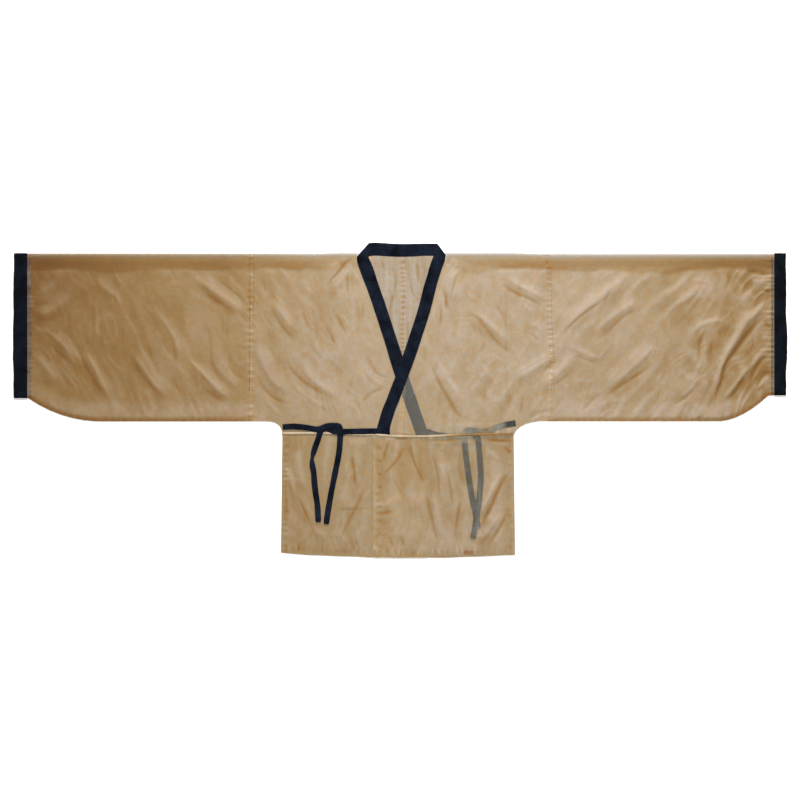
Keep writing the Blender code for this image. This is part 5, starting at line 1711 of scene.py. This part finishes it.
def sew(name, surface, finish, seams):
    """seams has rows of path, pitch, length, width, all in millimetres, and zigzag in radians."""
    places, faces = [], []
    draw = np.random.default_rng(len(name))
    for path, pitch, length, width, zigzag in seams:
        line = curve_through(path, 3.0) if len(path) > 2 else np.array(path, dtype=float)
        gone = np.concatenate([[0.0], np.cumsum(np.hypot(*np.diff(line, axis=0).T))])
        stops = np.arange(pitch / 2, gone[-1] - 2.0, pitch)
        stops = stops + draw.uniform(-UNEVEN, UNEVEN, len(stops)) * pitch
        x, y = np.interp(stops, gone, line[:, 0]), np.interp(stops, gone, line[:, 1])
        x2, y2 = np.interp(stops + 1.0, gone, line[:, 0]), np.interp(stops + 1.0, gone, line[:, 1])
        dx, dy = x2 - x, y2 - y
        scale = np.maximum(np.hypot(dx, dy), 1e-6)
        dx, dy = dx / scale, dy / scale
        if zigzag:
            turn = np.where(np.arange(len(stops)) % 2 == 0, zigzag, -zigzag)
            dx, dy = dx * np.cos(turn) - dy * np.sin(turn), dx * np.sin(turn) + dy * np.cos(turn)
        z = surface(x, y)[0] + THREAD_ABOVE
        size = length / 2 * draw.uniform(*LENGTHS, len(stops))
        w = width / 2
        for a, b, c, u, v, h in zip(x, y, z, dx, dy, size):
            first = len(places)
            places += [(a - u * h, b - v * h, c), (a - v * w, b + u * w, c), (a + u * h, b + v * h, c),
                       (a + v * w, b - u * w, c), (a - u * h / 2, b - v * h / 2, c + THREAD_RISE),
                       (a + u * h / 2, b + v * h / 2, c + THREAD_RISE)]
            faces += [tuple(first + k for k in face) for face in
                      ((0, 4, 1), (1, 4, 5), (1, 5, 2), (2, 5, 3), (3, 5, 4), (3, 4, 0), (0, 1, 2, 3))]
    return lay_piece(name, np.array(places), faces, {}, finish)


print("a thread stands", round(THREAD_RISE + THREAD_ABOVE, 2), "mm above the cloth")

# %% Places along the seams
def offset(path, away):
    return [(x + away, y) for x, y in path]


def join_part(name, top, low, away):
    """A part of the seam between sleeve and body, moved sideways."""
    seam = SIDES[name]["join"]
    seam_x, seam_y = np.array(seam).T
    heights = [top] + [y for y in seam_y if low < y < top] + [low]
    return [(float(np.interp(-y, -seam_y, seam_x)) + away, y) for y in heights]


end = {name: [(side["cuff_x"], SHOULDER_Y - 6.0), (side["cuff_x"], side["cuff_low_y"] + 4.0)]
       for name, side in SIDES.items()}
centre = [(CENTRE_X, 347.0), (CENTRE_X, -80.0)]
hem_inner = [p for p in HEM_STITCHES if p[0] < -60.0]
hem_outer = [p for p in HEM_STITCHES if p[0] > -60.0]
print("corners of the left join from 359 to 50:", len(join_part("left", 359.0, 50.0, 0.0)))

# %% Stitches
STITCHES = (  # name, cloth, thread, then rows of path, pitch, length, width, zigzag
    ("join_right", sleeve_surface, dark_thread, [
        (join_part("right", 358.0, 20.0, -1.0), 6.3, 3.6, 1.5, 0.0),
        (join_part("right", 352.0, 180.0, 9.0), 11.4, 4.0, 1.6, 0.5)]),
    ("join_left", sleeve_surface, dark_thread, [
        (join_part("left", 359.0, 50.0, -4.0), 7.6, 3.4, 1.7, 0.3),
        (join_part("left", 359.0, 30.0, 4.5), 7.1, 3.2, 1.5, 0.0)]),
    ("join_right_low", sleeve_surface, cream_thread, [
        (join_part("right", 90.0, -48.0, 1.5), 6.6, 3.4, 2.0, 0.0)]),
    ("join_left_low", sleeve_surface, cream_thread, [
        (join_part("left", 60.0, -47.0, -4.5), 6.8, 3.0, 1.9, 0.4),
        (join_part("left", 40.0, -40.0, 2.0), 8.3, 2.8, 1.6, 0.0)]),
    ("cuff_right", sleeve_surface, tan_thread, [(offset(end["right"], 7.5), 5.4, 5.2, 0.9, 0.7)]),
    ("cuff_left", sleeve_surface, pale_thread, [(offset(end["left"], -2.6), 5.2, 3.0, 0.9, 0.9)]),
    ("centre_back", back_surface, rust_thread, [
        (offset(centre, -1.0), 12.3, 6.5, 1.6, 0.0), (offset(centre, 2.5), 6.1, 4.0, 0.6, 0.0)]),
    ("hem_inner", inner_surface, tan_thread, [(hem_inner, 7.5, 4.2, 0.7, 0.0)]),
    ("hem_outer", outer_surface, tan_thread, [(hem_outer, 7.5, 4.2, 0.7, 0.0)]),
    ("waist_edge", outer_surface, tan_thread, [(OUTER_WAIST_STITCHES, 8.5, 4.5, 0.8, 0.0)]),
    ("side_right", inner_surface, tan_thread, [(SIDE_RIGHT_STITCHES, 9.0, 4.5, 0.7, 0.0)]),
    ("front_seam", outer_surface, tan_thread, [(FRONT_SEAM, 5.5, 3.4, 0.7, 0.0)]),
)
stitches = {name: sew(name + "_stitches", *rest) for name, *rest in STITCHES}
print("stitched seams:", len(stitches),
      "faces:", sum(len(piece.data.polygons) for piece in stitches.values()))

# %% [markdown]
# ## How many sheets there are
# Twelve pieces of cloth are counted: sleeves, body halves, gores, waist panels, collar and cuffs.
# The ties are added to them.

# %% Sheets counted
print("sheets declared:", 12 + len(ties))

# %% [markdown]
# ## Floor and light
# The picture has a bare white ground, so the floor is plain and pale, and the light is strong enough
# to bring it to white. A window light stands low beyond the collar and shows the creases. A weak
# light from the other side and a pale sky fill the shadows.

# %% Floor
FLOOR_HALF, FLOOR_Z = 9.0, -0.0006
corners = [(x * FLOOR_HALF, y * FLOOR_HALF, FLOOR_Z) for x, y in ((-1, -1), (1, -1), (1, 1), (-1, 1))]
floor_mesh = bpy.data.meshes.new("floor")
floor_mesh.from_pydata(corners, [], [(0, 1, 2, 3)])
floor = bpy.data.objects.new("floor", floor_mesh)
bpy.context.scene.collection.objects.link(floor)
floor_finish, tree, shader = new_finish("pale_floor", roughness=0.9, specular=0.1)
speck = add(tree, "ShaderNodeTexNoise", {"Scale": 3.0, "Detail": 2.0})[0]
pale = blend(tree, speck, (0.86, 0.86, 0.86, 1), (0.88, 0.88, 0.88, 1))
tree.links.new(pale, shader.inputs["Base Color"])
floor_mesh.materials.append(floor_finish)
print("floor:", 2 * FLOOR_HALF, "m wide")

# %% Lights
SKY, SKY_STRENGTH = (0.95, 0.97, 1.0, 1), 0.42
LIT_PLACE = (0.1, 0.0, 0.0)    # both lamps point here
world = bpy.data.worlds.new("studio")
world.use_nodes = True
sky = world.node_tree.nodes["Background"].inputs
sky["Color"].default_value, sky["Strength"].default_value = SKY, SKY_STRENGTH
bpy.context.scene.world = world

LIGHTS = (  # name, place, size, power, colour
    ("window", (0.2, 3.4, 2.1), 1.3, 370.0, (1.0, 0.98, 0.96)),
    ("fill", (0.0, -2.6, 3.0), 2.4, 110.0, (1.0, 0.98, 0.95)),
)
for name, place, size, power, light_colour in LIGHTS:
    lamp = bpy.data.lights.new(name, "AREA")
    lamp.shape, lamp.size, lamp.energy, lamp.color = "SQUARE", size, power, light_colour
    holder = bpy.data.objects.new(name, lamp)
    holder.location = place
    holder.rotation_euler = (Vector(LIT_PLACE) - Vector(place)).to_track_quat("-Z", "Y").to_euler()
    bpy.context.scene.collection.objects.link(holder)
print("lights:", [light[0] for light in LIGHTS])
